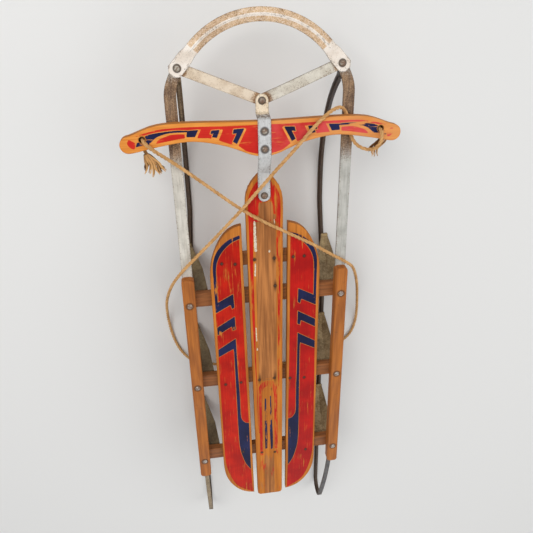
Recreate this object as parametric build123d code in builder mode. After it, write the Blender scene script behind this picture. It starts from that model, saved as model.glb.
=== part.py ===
from build123d import *
import math
import os

os.makedirs("parts", exist_ok=True)

# Steerable runner sled, standing on its two steel runners.
# +Y points to the front bow, +X to the rider's right, +Z up, floor at Z = 0,
# origin on the floor under the middle of the length.

# Stance of the wooden frame
bench_top = 130.0
bench_thick = 16.0
bench_wide = 30.0
bench_overhang = 10.0
bench_round = 2.0
front_bench_y = 95.0
middle_bench_y = -106.0
rear_bench_y = -319.0
front_cleat_y = 178.0
cleat_wide = 26.0
cleat_thick = 13.0
cleat_half_length = 98.0

# Side rails
rail_x = 150.0
rail_wide = 24.0
rail_thick = 20.0
rail_front_y = 151.0
rail_rear_y = -367.0
rail_edge_round = 3.0
rail_corner = 7.0

# Slats of the deck
slat_thick = 12.0
slat_edge_round = 1.5
centre_slat_front_half = 34.5
centre_slat_rear_half = 29.5
centre_slat_front_y = 345.0
centre_slat_shoulder_y = 268.0
centre_slat_rear_y = -460.0
slat_gap = 9.0
outer_slat_edge_x = 107.0
outer_slat_front_y = 253.0
outer_slat_front_curve = 118.0
outer_slat_rear_y = -449.0
outer_slat_rear_curve = 104.0

# Runners: a flat sole with a web standing on it
sole_wide = 10.0
sole_thick = 4.0
web_wide = 4.0
web_high = 7.0
runner_inset = 1.0
runner_bend_y = 60.0
runner_waist_x = 136.5
runner_waist_lead = 46.0
runner_bend_radius = 400.0
toe_radius = 260.0
toe_knuckle_radius = 8.0
toe_flat = 13.0
heel_radius = 30.0
heel_rear_y = -612.0
heel_slope = 12.0
heel_bend_radius = 25.0
heel_lap = 30.0

# Steel bow and the bars that carry it
bow_apex_y = 601.5
bow_radius = 148.5
bow_half_angle = 47.0
bow_straight = 38.0
bow_wide = 21.0
bow_ridge = 4.0
bow_thick = 3.0
bow_plate_wide = 25.0
bow_plate_chamfer = 7.0
bow_plate_end = 14.0
bar_thick = 3.0
ybar_wide = 18.0
brace_wide = 20.0
brace_thick = 3.0
brace_ridge = 2.6
brace_ridge_front_y = 452.0
brace_fade = 26.0

# Steering crossbar and its strap
crossbar_gap = 14.5
crossbar_thick = 18.0
crossbar_front_y = 443.0
crossbar_rear_y = 384.0
crossbar_tip_x = 237.0
crossbar_edge_round = 2.5
rope_hole_x = 200.0
rope_hole_y = 422.0
rope_hole_radius = 5.0
strap_wide = 22.0
strap_thick = 3.0
deck_pivot_y = 309.0
bow_pivot_y = 472.0
strap_tail = 11.0
washer_thick = 1.5
washer_radius = 10.0

# Bolts and rivets
rail_bolt_radius = 3.0
rail_bolt_head_radius = 5.2
rail_bolt_head_high = 2.6
nut_across = 10.0
nut_high = 5.0
pivot_radius = 3.5
pivot_head_radius = 6.6
pivot_head_high = 3.6
rivet_radius = 3.0
rivet_head_radius = 5.2
rivet_head_high = 2.4
front_rivet_y = 427.0
rear_rivet_y = 397.0
hole_slack = 0.1
swing_slack = 2.4
face_slack = 0.3

# Pressed steel knees between the benches and the runners
knee_thick = 3.0
knee_reach_in = 37.0
knee_reach_out = 8.0
knee_foot_inset = 2.5
knee_foot_wide = 15.0
knee_stride = 64.0
knee_crease = 6.0
knee_foot_tab = 9.0

# Pull rope
rope_diameter = 6.4
knot_radius = 7.5
tassel_half_wide = 15.0
tassel_half_thick = 8.0

# Places across the sled worked out from the sizes above
bench_half_length = rail_x + bench_overhang
runner_x = rail_x - runner_inset
knee_inner_x = rail_x - knee_reach_in
knee_outer_x = rail_x + knee_reach_out
knee_foot_x = runner_x - knee_foot_inset

# Levels worked out from the sizes above
bench_under = bench_top - bench_thick
rail_top = bench_top + rail_thick
slat_top = bench_top + slat_thick
brace_top = bench_top + brace_thick
ybar_top = brace_top + bar_thick
bow_plate_top = ybar_top + bow_thick
toe_top = bench_top
crossbar_bottom = bench_top + crossbar_gap
crossbar_top = crossbar_bottom + crossbar_thick
web_top = sole_thick + web_high

# The bow's end bolts stand where its straight ends stop
bow_angle = math.radians(bow_half_angle)
bolt_x = bow_radius * math.sin(bow_angle) + bow_straight * math.cos(bow_angle)
bolt_y = bow_apex_y - bow_radius * (1 - math.cos(bow_angle)) - bow_straight * math.sin(bow_angle)
bow_centre_y = bow_apex_y - bow_radius


def rounded_bar(length, width, height, corner, edge):
    """A wooden bar lying along Y with rounded corners and softened edges."""
    with BuildPart() as bar:
        with BuildSketch():
            RectangleRounded(width, length, corner)
        extrude(amount=height)
        fillet(bar.faces().sort_by(Axis.Z)[-1].edges(), radius=edge)
        fillet(bar.faces().sort_by(Axis.Z)[0].edges(), radius=edge / 3)
    return bar.part


def dome_middle(radius, high):
    """The point halfway along a dome's arc, from the middle of the dome's foot."""
    ball = (radius**2 + high**2) / (2 * high)
    half = math.asin(radius / ball) / 2
    return (ball * math.sin(half), high - ball * (1 - math.cos(half)))


def bolt(x, y, under, top, radius, head_radius, head_high, nut):
    """A round headed bolt standing through a stack, with a square nut below."""
    rim = top + 0.6
    middle_x, middle_z = dome_middle(head_radius, head_high - 0.6)
    with BuildPart() as fastener:
        with BuildSketch(Plane.XZ.offset(-y)):
            with BuildLine():
                Polyline((x, under - 1.5 - nut), (x + radius, under - 1.5 - nut), (x + radius, top))
                Line((x + radius, top), (x + head_radius, top))
                Line((x + head_radius, top), (x + head_radius, rim))
                ThreePointArc((x + head_radius, rim), (x + middle_x, rim + middle_z), (x, top + head_high))
                Line((x, top + head_high), (x, under - 1.5 - nut))
            make_face()
        revolve(axis=Axis((x, y, 0), (0, 0, 1)))
        if nut > 0:
            with BuildSketch(Plane.XY.offset(under - nut)):
                with Locations((x, y)):
                    RectangleRounded(nut_across, nut_across, 1.2)
            extrude(amount=nut)
    return fastener.part


# Wooden benches and the short front cleat
bench_table = (
    ("bench_front", front_bench_y),
    ("bench_middle", middle_bench_y),
    ("bench_rear", rear_bench_y),
)
for bench_name, bench_y in bench_table:
    with BuildPart() as bench:
        with BuildSketch(Plane.XY.offset(bench_under)):
            with Locations((0, bench_y)):
                Rectangle(2 * bench_half_length, bench_wide)
        extrude(amount=bench_thick)
        fillet(bench.edges().filter_by(Axis.X), radius=bench_round)
        with Locations((-rail_x, bench_y, bench_top), (rail_x, bench_y, bench_top)):
            Hole(radius=rail_bolt_radius + hole_slack, depth=bench_thick)
    bench.part.label = bench_name
    export_step(bench.part, f"parts/{bench_name}.step")

with BuildPart() as front_cleat:
    with BuildSketch(Plane.XY.offset(bench_top - cleat_thick)):
        with Locations((0, front_cleat_y)):
            Rectangle(2 * cleat_half_length, cleat_wide)
    extrude(amount=cleat_thick)
    fillet(front_cleat.edges().filter_by(Axis.X), radius=bench_round)
front_cleat.part.label = "front_cleat"
export_step(front_cleat.part, "parts/front_cleat.step")

# Side rails, let in underneath for the tail of each brace
brace_tail_y = front_bench_y - bench_wide / 2
for side_name, side in (("left", -1), ("right", 1)):
    with BuildPart() as side_rail:
        rail_length = rail_front_y - rail_rear_y
        with Locations((side * rail_x, (rail_front_y + rail_rear_y) / 2, bench_top)):
            add(rounded_bar(rail_length, rail_wide, rail_thick, rail_corner, rail_edge_round))
        with BuildSketch(Plane.XY.offset(bench_top)):
            with Locations((side * rail_x, (brace_tail_y + rail_front_y) / 2)):
                Rectangle(brace_wide + 0.4, rail_front_y - brace_tail_y + 0.4)
        extrude(amount=brace_thick, mode=Mode.SUBTRACT)
        for bench_name, bench_y in bench_table:
            with Locations((side * rail_x, bench_y, rail_top)):
                Hole(radius=rail_bolt_radius + hole_slack, depth=rail_thick)
    side_rail.part.label = f"side_rail_{side_name}"
    export_step(side_rail.part, f"parts/side_rail_{side_name}.step")

# Centre slat: pointed front, straight sides that draw in towards the rear
with BuildPart() as slat_centre:
    with BuildSketch(Plane.XY.offset(bench_top)) as centre_outline:
        with BuildLine():
            Spline(
                (-centre_slat_front_half, centre_slat_shoulder_y),
                (-centre_slat_front_half * 0.66, (centre_slat_shoulder_y + centre_slat_front_y * 2) / 3 - 6),
                (0, centre_slat_front_y),
                tangents=((0, 1), (1, 0.35)),
            )
            Spline(
                (0, centre_slat_front_y),
                (centre_slat_front_half * 0.66, (centre_slat_shoulder_y + centre_slat_front_y * 2) / 3 - 6),
                (centre_slat_front_half, centre_slat_shoulder_y),
                tangents=((1, -0.35), (0, -1)),
            )
            Line(
                (centre_slat_front_half, centre_slat_shoulder_y),
                (centre_slat_rear_half, centre_slat_rear_y),
            )
            Line((centre_slat_rear_half, centre_slat_rear_y), (-centre_slat_rear_half, centre_slat_rear_y))
            Line(
                (-centre_slat_rear_half, centre_slat_rear_y),
                (-centre_slat_front_half, centre_slat_shoulder_y),
            )
        make_face()
        fillet(centre_outline.vertices().group_by(Axis.Y)[0], radius=8)
    extrude(amount=slat_thick)
    fillet(slat_centre.faces().sort_by(Axis.Z)[-1].edges(), radius=slat_edge_round)
    with Locations((0, deck_pivot_y, slat_top)):
        Hole(radius=pivot_radius + hole_slack, depth=slat_thick)
slat_centre.part.label = "slat_centre"
export_step(slat_centre.part, "parts/slat_centre.step")

# Outer slats: quarter round outer corners, inner edges that follow the centre slat
inner_front = centre_slat_front_half + slat_gap
inner_rear = centre_slat_rear_half + slat_gap
for side_name, side in (("left", -1), ("right", 1)):
    with BuildPart() as outer_slat:
        with BuildSketch(Plane.XY.offset(bench_top)) as outer_outline:
            with BuildLine():
                front_start = outer_slat_front_y - outer_slat_front_curve
                rear_start = outer_slat_rear_y + outer_slat_rear_curve
                front_width = outer_slat_edge_x - inner_front
                rear_width = outer_slat_edge_x - inner_rear
                bow_part = math.sqrt(0.5)
                Line((side * inner_rear, outer_slat_rear_y), (side * inner_front, outer_slat_front_y))
                Spline(
                    (side * inner_front, outer_slat_front_y),
                    (
                        side * (inner_front + front_width * bow_part),
                        front_start + outer_slat_front_curve * bow_part,
                    ),
                    (side * outer_slat_edge_x, front_start),
                    tangents=((side * 1, -0.12), (0, -1)),
                )
                Line((side * outer_slat_edge_x, front_start), (side * outer_slat_edge_x, rear_start))
                Spline(
                    (side * outer_slat_edge_x, rear_start),
                    (
                        side * (inner_rear + rear_width * bow_part),
                        rear_start - outer_slat_rear_curve * bow_part,
                    ),
                    (side * inner_rear, outer_slat_rear_y),
                    tangents=((0, -1), (-side * 1, -0.12)),
                )
            make_face()
        extrude(amount=slat_thick)
        fillet(outer_slat.faces().sort_by(Axis.Z)[-1].edges(), radius=slat_edge_round)
    outer_slat.part.label = f"slat_{side_name}"
    export_step(outer_slat.part, f"parts/slat_{side_name}.step")

# Knees: a top plate under the bench and two creased legs splayed fore and aft
knee_height = bench_under - web_top
knee_centre_x = (knee_inner_x + knee_outer_x) / 2
knee_top_wide = knee_outer_x - knee_inner_x


def creased_strip(half_width, centre_x, crease, thick, direction):
    """Cross section of a leg: a sheet folded along its middle, seen along the leg."""
    with BuildLine() as outline:
        Polyline(
            (centre_x - half_width, 0),
            (centre_x, direction * crease),
            (centre_x + half_width, 0),
            (centre_x + half_width, -direction * thick),
            (centre_x, direction * (crease - thick)),
            (centre_x - half_width, -direction * thick),
            close=True,
        )
    return outline.line


def knee_leg(travel):
    """One leg, from the plate's edge down and away to its foot on the runner."""
    top_y = travel * (bench_wide / 2 - 1)
    foot_y = travel * knee_stride
    top_z = bench_under - knee_thick / 2
    foot_z = web_top + knee_thick / 2
    lean = Vector(0, foot_y - top_y, foot_z - top_z).normalized()
    stations = (
        (0.0, knee_top_wide / 2, knee_centre_x, knee_crease),
        (0.45, knee_top_wide * 0.42, knee_centre_x + 3.0, knee_crease),
        (0.8, knee_top_wide * 0.27, knee_foot_x - 3.0, knee_crease * 0.6),
        (1.0, knee_foot_wide / 2, knee_foot_x, 0.6),
    )
    with BuildPart() as leg:
        for share, half_width, centre_x, crease in stations:
            spot = (0, top_y + (foot_y - top_y) * share, top_z + (foot_z - top_z) * share)
            with BuildSketch(Plane(origin=spot, x_dir=(1, 0, 0), z_dir=tuple(lean))):
                with BuildLine():
                    add(creased_strip(half_width, centre_x, crease, knee_thick, travel))
                make_face()
        loft(ruled=True)
    return leg.part


with BuildPart() as knee_pattern:
    with BuildSketch(Plane.XY.offset(bench_under - knee_thick)):
        with Locations((knee_centre_x, 0)):
            RectangleRounded(knee_top_wide, bench_wide, 3)
    extrude(amount=knee_thick)
    add(knee_leg(1))
    add(knee_leg(-1))
    with BuildSketch(Plane.XY.offset(web_top)):
        with Locations((knee_foot_x, knee_stride + 2), (knee_foot_x, -knee_stride - 2)):
            RectangleRounded(knee_foot_wide, knee_foot_tab + 6, 3)
    extrude(amount=knee_thick)
    with BuildSketch(Plane.XY.offset(web_top - 12)):
        Rectangle(4 * knee_outer_x, 6 * knee_stride)
    extrude(amount=12, mode=Mode.SUBTRACT)
    with BuildSketch(Plane.XY.offset(bench_under)):
        Rectangle(4 * knee_outer_x, 6 * knee_stride)
    extrude(amount=12, mode=Mode.SUBTRACT)
    with Locations((rail_x, 0, bench_under)):
        Hole(radius=rail_bolt_radius + hole_slack, depth=knee_thick + 8)

for bench_name, bench_y in bench_table:
    place = bench_name.split("_")[1]
    for side_name, side in (("left", -1), ("right", 1)):
        with BuildPart() as knee:
            with Locations((0, bench_y, 0)):
                if side > 0:
                    add(knee_pattern.part)
                else:
                    add(knee_pattern.part.mirror(Plane.YZ))
        knee.part.label = f"knee_{place}_{side_name}"
        export_step(knee.part, f"parts/knee_{place}_{side_name}.step")

# Carriage bolts down through rail, bench and knee
for bench_name, bench_y in bench_table:
    place = bench_name.split("_")[1]
    for side_name, side in (("left", -1), ("right", 1)):
        rail_bolt = bolt(
            side * rail_x,
            bench_y,
            bench_under - knee_thick,
            rail_top,
            rail_bolt_radius,
            rail_bolt_head_radius,
            rail_bolt_head_high,
            nut_high,
        )
        rail_bolt.label = f"rail_bolt_{place}_{side_name}"
        export_step(rail_bolt, f"parts/rail_bolt_{place}_{side_name}.step")

# Runner path, followed along the underside of the sole
toe_under = toe_top - sole_thick
toe_turn = math.acos(1 - toe_under / (toe_radius + toe_knuckle_radius))
toe_flat_y = bolt_y - toe_flat
toe_start_y = toe_flat_y - (toe_radius + toe_knuckle_radius) * math.sin(toe_turn)
runner_waist_y = toe_start_y - runner_waist_lead
toe_lean = math.atan2(bolt_x - runner_waist_x, bolt_y - runner_waist_y)


def toe_point(y, z):
    """A point of the rising front, in the upright plane from the waist to the bolt."""
    return (runner_waist_x + (y - runner_waist_y) * math.tan(toe_lean), y, z)


def toe_arc(turn):
    """A point of the big front curve."""
    return toe_point(
        toe_start_y + toe_radius * math.sin(turn),
        toe_radius * (1 - math.cos(turn)),
    )


def knuckle_arc(turn):
    """A point of the small curve that lays the toe flat again."""
    return toe_point(
        toe_flat_y - toe_knuckle_radius * math.sin(turn),
        toe_under - toe_knuckle_radius * (1 - math.cos(turn)),
    )


heel_angle = math.radians(heel_slope)
heel_y = rail_rear_y - heel_bend_radius * math.sin(heel_angle)
heel_z = bench_top - heel_bend_radius * (1 - math.cos(heel_angle))
curl_y = heel_rear_y + heel_radius
curl_z = heel_radius
reach_y = heel_y - curl_y
reach_z = heel_z - curl_z
into_y = math.sin(heel_angle)
into_z = -math.cos(heel_angle)
across = reach_y * into_y + reach_z * into_z
back_radius = (heel_radius**2 - reach_y**2 - reach_z**2) / (2 * (across + heel_radius))
back_y = heel_y + back_radius * into_y
back_z = heel_z + back_radius * into_z
back_end = math.atan2(back_y - curl_y, curl_z - back_z)


def heel_arc(turn):
    """A point of the long curve from the rail's rear end down to the curl."""
    return (runner_x, back_y - back_radius * math.sin(turn), back_z + back_radius * math.cos(turn))


def curl_arc(turn):
    """A point of the tight curl behind the deck."""
    return (runner_x, curl_y - heel_radius * math.sin(turn), curl_z + heel_radius * math.cos(turn))


heel_start = (runner_x, rail_rear_y + heel_lap, bench_top)
heel_break = (runner_x, rail_rear_y, bench_top)
half_bend = heel_angle / 2
heel_mid = (
    runner_x,
    rail_rear_y - heel_bend_radius * math.sin(half_bend),
    bench_top - heel_bend_radius * (1 - math.cos(half_bend)),
)
with BuildLine() as sole_path:
    Line(heel_start, heel_break)
    ThreePointArc(heel_break, heel_mid, (runner_x, heel_y, heel_z))
    ThreePointArc(
        (runner_x, heel_y, heel_z),
        heel_arc((heel_angle + back_end) / 2),
        heel_arc(back_end),
    )
    ThreePointArc(
        heel_arc(back_end),
        curl_arc((back_end + math.pi) / 2),
        curl_arc(math.pi),
    )
    FilletPolyline(
        curl_arc(math.pi),
        (runner_x, runner_bend_y, 0),
        (runner_waist_x, runner_waist_y, 0),
        toe_point(toe_start_y, 0),
        radius=(runner_bend_radius, runner_bend_radius),
    )
    ThreePointArc(toe_point(toe_start_y, 0), toe_arc(toe_turn / 2), toe_arc(toe_turn))
    ThreePointArc(toe_arc(toe_turn), knuckle_arc(toe_turn / 2), knuckle_arc(0))
    Line(knuckle_arc(0), toe_point(bolt_y, toe_under))

# Each runner: sole swept along the whole path, web stopped short of the flat toe
heel_plane = Plane(origin=heel_start, x_dir=(1, 0, 0), z_dir=(0, -1, 0))
with BuildLine() as web_path:
    for path_edge in sole_path.edges()[:-2]:
        add(path_edge)
with BuildPart() as runner_right:
    with BuildSketch(heel_plane):
        with Locations((0, -sole_thick / 2)):
            Rectangle(sole_wide, sole_thick)
    sweep(path=sole_path.wires()[0])
    with BuildSketch(heel_plane):
        with Locations((0, -sole_thick - web_high / 2 + 0.5)):
            Rectangle(web_wide, web_high + 1.0)
    sweep(path=web_path.wires()[0])
    with BuildSketch(Plane.XY.offset(toe_under)) as toe_plate:
        with Locations((bolt_x, bolt_y)):
            Circle(brace_wide / 2)
        with BuildLine():
            Polyline(
                (bolt_x - brace_wide / 2, bolt_y),
                (bolt_x - sole_wide / 2, toe_flat_y),
                (bolt_x + sole_wide / 2, toe_flat_y),
                (bolt_x + brace_wide / 2, bolt_y),
                close=True,
            )
        make_face()
    extrude(amount=sole_thick)
    with Locations((bolt_x, bolt_y, toe_top)):
        Hole(radius=pivot_radius + hole_slack, depth=sole_thick + 6)
runner_right.part.label = "runner_right"
with BuildPart() as runner_left:
    add(runner_right.part.mirror(Plane.YZ))
runner_left.part.label = "runner_left"
for runner in (runner_left, runner_right):
    export_step(runner.part, f"parts/{runner.part.label}.step")

# Braces: flat steel strips from under the rails to the bow, creased along the open part
brace_turn_y = brace_ridge_front_y + brace_fade
brace_slew = rail_x - bolt_x
crease_rear_y = rail_front_y + 14
crease_full_y = crease_rear_y + 12


def crease_profile(half_width, ridge, thick):
    """A strip folded to a low ridge, drawn across the strip."""
    with BuildLine() as outline:
        Polyline(
            (-half_width, 0),
            (0, ridge),
            (half_width, 0),
            (half_width, thick),
            (0, ridge + thick),
            (-half_width, thick),
            close=True,
        )
    return outline.line


with BuildPart() as brace_right:
    with BuildSketch(Plane.XY.offset(bench_top)):
        with BuildLine():
            Line((rail_x - brace_wide / 2, brace_tail_y), (rail_x + brace_wide / 2, brace_tail_y))
            Line((rail_x + brace_wide / 2, brace_tail_y), (rail_x + brace_wide / 2, crease_rear_y))
            Line((rail_x + brace_wide / 2, crease_rear_y), (rail_x - brace_wide / 2, crease_rear_y))
            Line((rail_x - brace_wide / 2, crease_rear_y), (rail_x - brace_wide / 2, brace_tail_y))
        make_face()
        with BuildLine():
            Spline(
                (rail_x + brace_wide / 2, brace_turn_y),
                (bolt_x + brace_wide / 2, bolt_y),
                tangents=((0, 1), (-brace_slew, (bolt_y - brace_turn_y) * 0.7)),
            )
            ThreePointArc(
                (bolt_x + brace_wide / 2, bolt_y),
                (bolt_x, bolt_y + brace_wide / 2),
                (bolt_x - brace_wide / 2, bolt_y),
            )
            Spline(
                (bolt_x - brace_wide / 2, bolt_y),
                (rail_x - brace_wide / 2, brace_turn_y),
                tangents=((brace_slew, -(bolt_y - brace_turn_y) * 0.7), (0, -1)),
            )
            Line((rail_x - brace_wide / 2, brace_turn_y), (rail_x + brace_wide / 2, brace_turn_y))
        make_face()
    extrude(amount=brace_thick)
    for first_y, first_ridge, last_y, last_ridge in (
        (crease_rear_y, 0.01, crease_full_y, brace_ridge),
        (crease_full_y, brace_ridge, brace_ridge_front_y, brace_ridge),
        (brace_ridge_front_y, brace_ridge, brace_turn_y, 0.01),
    ):
        for cut_y, ridge in ((first_y, first_ridge), (last_y, last_ridge)):
            with BuildSketch(Plane(origin=(rail_x, cut_y, bench_top), x_dir=(1, 0, 0), z_dir=(0, -1, 0))):
                with BuildLine():
                    add(crease_profile(brace_wide / 2, ridge, brace_thick))
                make_face()
        loft(ruled=True)
    with Locations((bolt_x, bolt_y, brace_top), (rail_x, front_bench_y, brace_top)):
        Hole(radius=pivot_radius + hole_slack, depth=brace_thick)
brace_right.part.label = "brace_right"
with BuildPart() as brace_left:
    add(brace_right.part.mirror(Plane.YZ))
brace_left.part.label = "brace_left"
for brace in (brace_left, brace_right):
    export_step(brace.part, f"parts/{brace.part.label}.step")

# Flat bars from the front pivot out to the bow bolts, the right one dropped under the left
ybar_length = math.hypot(bolt_x, bolt_y - bow_pivot_y)
ybar_turn = math.degrees(math.atan2(bolt_y - bow_pivot_y, bolt_x))
drop_start = ybar_wide * 0.75
drop_end = ybar_wide * 1.6
for side_name, side, drop in (("left", -1, 0.0), ("right", 1, bar_thick)):
    turn = ybar_turn if side > 0 else 180 - ybar_turn
    bar_plane = Plane(
        origin=(0, bow_pivot_y, brace_top),
        x_dir=(math.cos(math.radians(turn)), math.sin(math.radians(turn)), 0),
        z_dir=(0, 0, 1),
    )
    side_plane = Plane(
        origin=(0, bow_pivot_y, brace_top), x_dir=tuple(bar_plane.x_dir), z_dir=tuple(bar_plane.y_dir * -1)
    )
    with BuildPart() as ybar:
        with BuildSketch(side_plane):
            with BuildLine():
                Polyline(
                    (-ybar_wide, -drop),
                    (drop_start, -drop),
                    (drop_end, 0),
                    (ybar_length + ybar_wide, 0),
                    (ybar_length + ybar_wide, bar_thick),
                    (drop_end, bar_thick),
                    (drop_start, bar_thick - drop),
                    (-ybar_wide, bar_thick - drop),
                    close=True,
                )
            make_face()
        extrude(amount=ybar_wide, both=True)
        with BuildSketch(bar_plane.offset(-2 * bar_thick)):
            with Locations((ybar_length / 2, 0)):
                SlotCenterToCenter(ybar_length, ybar_wide)
        extrude(amount=4 * bar_thick, mode=Mode.INTERSECT)
        with Locations((0, bow_pivot_y, ybar_top)):
            Hole(radius=pivot_radius + swing_slack, depth=3 * bar_thick)
        with Locations((side * bolt_x, bolt_y, ybar_top)):
            Hole(radius=pivot_radius + hole_slack, depth=bar_thick)
    ybar.part.label = f"ybar_{side_name}"
    export_step(ybar.part, f"parts/ybar_{side_name}.step")

# Bow: a creased band bent to an arc, its ends hammered flat into chamfered plates
crease_start = 6.0
crease_length = 12.0
arc_end = (bow_radius * math.sin(bow_angle), bow_centre_y + bow_radius * math.cos(bow_angle))
out_dir = (math.cos(bow_angle), -math.sin(bow_angle))


def along_straight(run):
    """A point of the right straight end, measured from the end of the arc."""
    return (arc_end[0] + out_dir[0] * run, arc_end[1] + out_dir[1] * run, ybar_top)


with BuildPart() as bow:
    with BuildLine() as band_path:
        Line(
            (-along_straight(crease_start)[0], along_straight(crease_start)[1], ybar_top),
            (-arc_end[0], arc_end[1], ybar_top),
        )
        ThreePointArc(
            (-arc_end[0], arc_end[1], ybar_top),
            (0, bow_apex_y, ybar_top),
            (arc_end[0], arc_end[1], ybar_top),
        )
        Line((arc_end[0], arc_end[1], ybar_top), along_straight(crease_start))
    band_plane = Plane(
        origin=band_path.line @ 0,
        x_dir=(out_dir[1], out_dir[0], 0),
        z_dir=band_path.line % 0,
    )
    with BuildSketch(band_plane):
        with BuildLine():
            add(crease_profile(bow_wide / 2, bow_ridge, bow_thick))
        make_face()
    sweep(path=band_path.wires()[0])
    for side in (-1, 1):
        for run, half_width, ridge in (
            (crease_start, bow_wide / 2, bow_ridge),
            (crease_start + crease_length, bow_plate_wide / 2, 0.01),
        ):
            spot = along_straight(run)
            with BuildSketch(
                Plane(
                    origin=(side * spot[0], spot[1], spot[2]),
                    x_dir=(-out_dir[1], side * out_dir[0], 0),
                    z_dir=(side * out_dir[0], out_dir[1], 0),
                )
            ):
                with BuildLine():
                    add(crease_profile(half_width, ridge, bow_thick))
                make_face()
        loft(ruled=True)
        plate_start = bow_straight - crease_start - crease_length
        plate_plane = Plane(
            origin=(side * bolt_x, bolt_y, ybar_top),
            x_dir=(side * out_dir[0], out_dir[1], 0),
            z_dir=(0, 0, 1),
        )
        with BuildSketch(plate_plane) as plate_outline:
            with Locations(((bow_plate_end - plate_start) / 2, 0)):
                Rectangle(plate_start + bow_plate_end, bow_plate_wide)
            plate_corners = plate_outline.vertices().filter_by(
                lambda corner: math.hypot(corner.X - side * bolt_x, corner.Y - bolt_y) < bow_plate_wide * 0.8
            )
            chamfer(plate_corners, length=bow_plate_chamfer)
        extrude(amount=bow_thick)
        with Locations((side * bolt_x, bolt_y, bow_plate_top)):
            Hole(radius=pivot_radius + hole_slack, depth=bow_thick)
bow.part.label = "bow"
export_step(bow.part, "parts/bow.step")

# Crossbar: a wing shaped bar with a flat top, drawn for one half and mirrored
wing_span = crossbar_tip_x
wing_front = crossbar_front_y
with BuildPart() as crossbar:
    with BuildSketch(Plane.XY.offset(crossbar_bottom)) as wing:
        with BuildLine():
            wing_end = ThreePointArc(
                (wing_span - 11, wing_front - 15.5),
                (wing_span, wing_front - 28),
                (wing_span - 15, wing_front - 43),
            )
            Spline(
                (0, wing_front),
                (wing_span * 0.32, wing_front + 1.5),
                (wing_span * 0.60, wing_front + 2.5),
                (wing_span * 0.80, wing_front - 3),
                wing_end @ 0,
                tangents=((1, 0), wing_end % 0),
            )
            Spline(
                wing_end @ 1,
                (wing_span * 0.82, wing_front - 38),
                (wing_span * 0.70, wing_front - 33),
                (wing_span * 0.53, wing_front - 28.5),
                (wing_span * 0.37, wing_front - 33),
                (wing_span * 0.20, wing_front - 45),
                (0, crossbar_rear_y),
                tangents=(wing_end % 1, (-1, 0)),
            )
            Line((0, crossbar_rear_y), (0, wing_front))
        make_face()
        mirror(about=Plane.YZ)
    extrude(amount=crossbar_thick)
    fillet(crossbar.faces().sort_by(Axis.Z)[-1].outer_wire().edges(), radius=crossbar_edge_round)
    fillet(crossbar.faces().sort_by(Axis.Z)[0].outer_wire().edges(), radius=crossbar_edge_round)
    with Locations((-rope_hole_x, rope_hole_y, crossbar_top), (rope_hole_x, rope_hole_y, crossbar_top)):
        Hole(radius=rope_hole_radius, depth=crossbar_thick)
    with Locations((0, front_rivet_y, crossbar_top), (0, rear_rivet_y, crossbar_top)):
        Hole(radius=rivet_radius + hole_slack, depth=crossbar_thick)
crossbar.part.label = "crossbar"
export_step(crossbar.part, "parts/crossbar.step")

# Strap: from the pivot on the deck up over the crossbar and down to the bow bars
strap_deck = slat_top + washer_thick
strap_bow = ybar_top + face_slack
strap_rear_y = deck_pivot_y - strap_wide / 2
strap_front_y = bow_pivot_y + strap_wide / 2
rear_rise = (crossbar_top - strap_deck) * 1.7
front_rise = (crossbar_top - strap_bow) * 0.3
with BuildPart() as strap:
    with BuildSketch(Plane.YZ):
        with BuildLine():
            FilletPolyline(
                (strap_rear_y, strap_deck),
                (crossbar_rear_y - rear_rise, strap_deck),
                (crossbar_rear_y, crossbar_top),
                (crossbar_front_y + 0.6, crossbar_top),
                (crossbar_front_y + front_rise, strap_bow),
                (strap_front_y, strap_bow),
                radius=2.0,
            )
            offset(amount=strap_thick, side=Side.LEFT)
        make_face()
    extrude(amount=strap_wide / 2, both=True)
    with BuildSketch(Plane.XY.offset(strap_bow - 10)):
        with Locations((0, (deck_pivot_y + bow_pivot_y) / 2)):
            SlotCenterToCenter(bow_pivot_y - deck_pivot_y, strap_wide, rotation=90)
    extrude(amount=crossbar_top - strap_bow + 30, mode=Mode.INTERSECT)
    with Locations((0, deck_pivot_y, strap_deck + strap_thick), (0, bow_pivot_y, strap_bow + strap_thick)):
        Hole(radius=pivot_radius + hole_slack, depth=strap_thick)
    strap_top = crossbar_top + strap_thick
    with Locations((0, front_rivet_y, strap_top), (0, rear_rivet_y, strap_top)):
        Hole(radius=rivet_radius + hole_slack, depth=strap_thick)
strap.part.label = "steering_strap"
export_step(strap.part, "parts/steering_strap.step")

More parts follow.
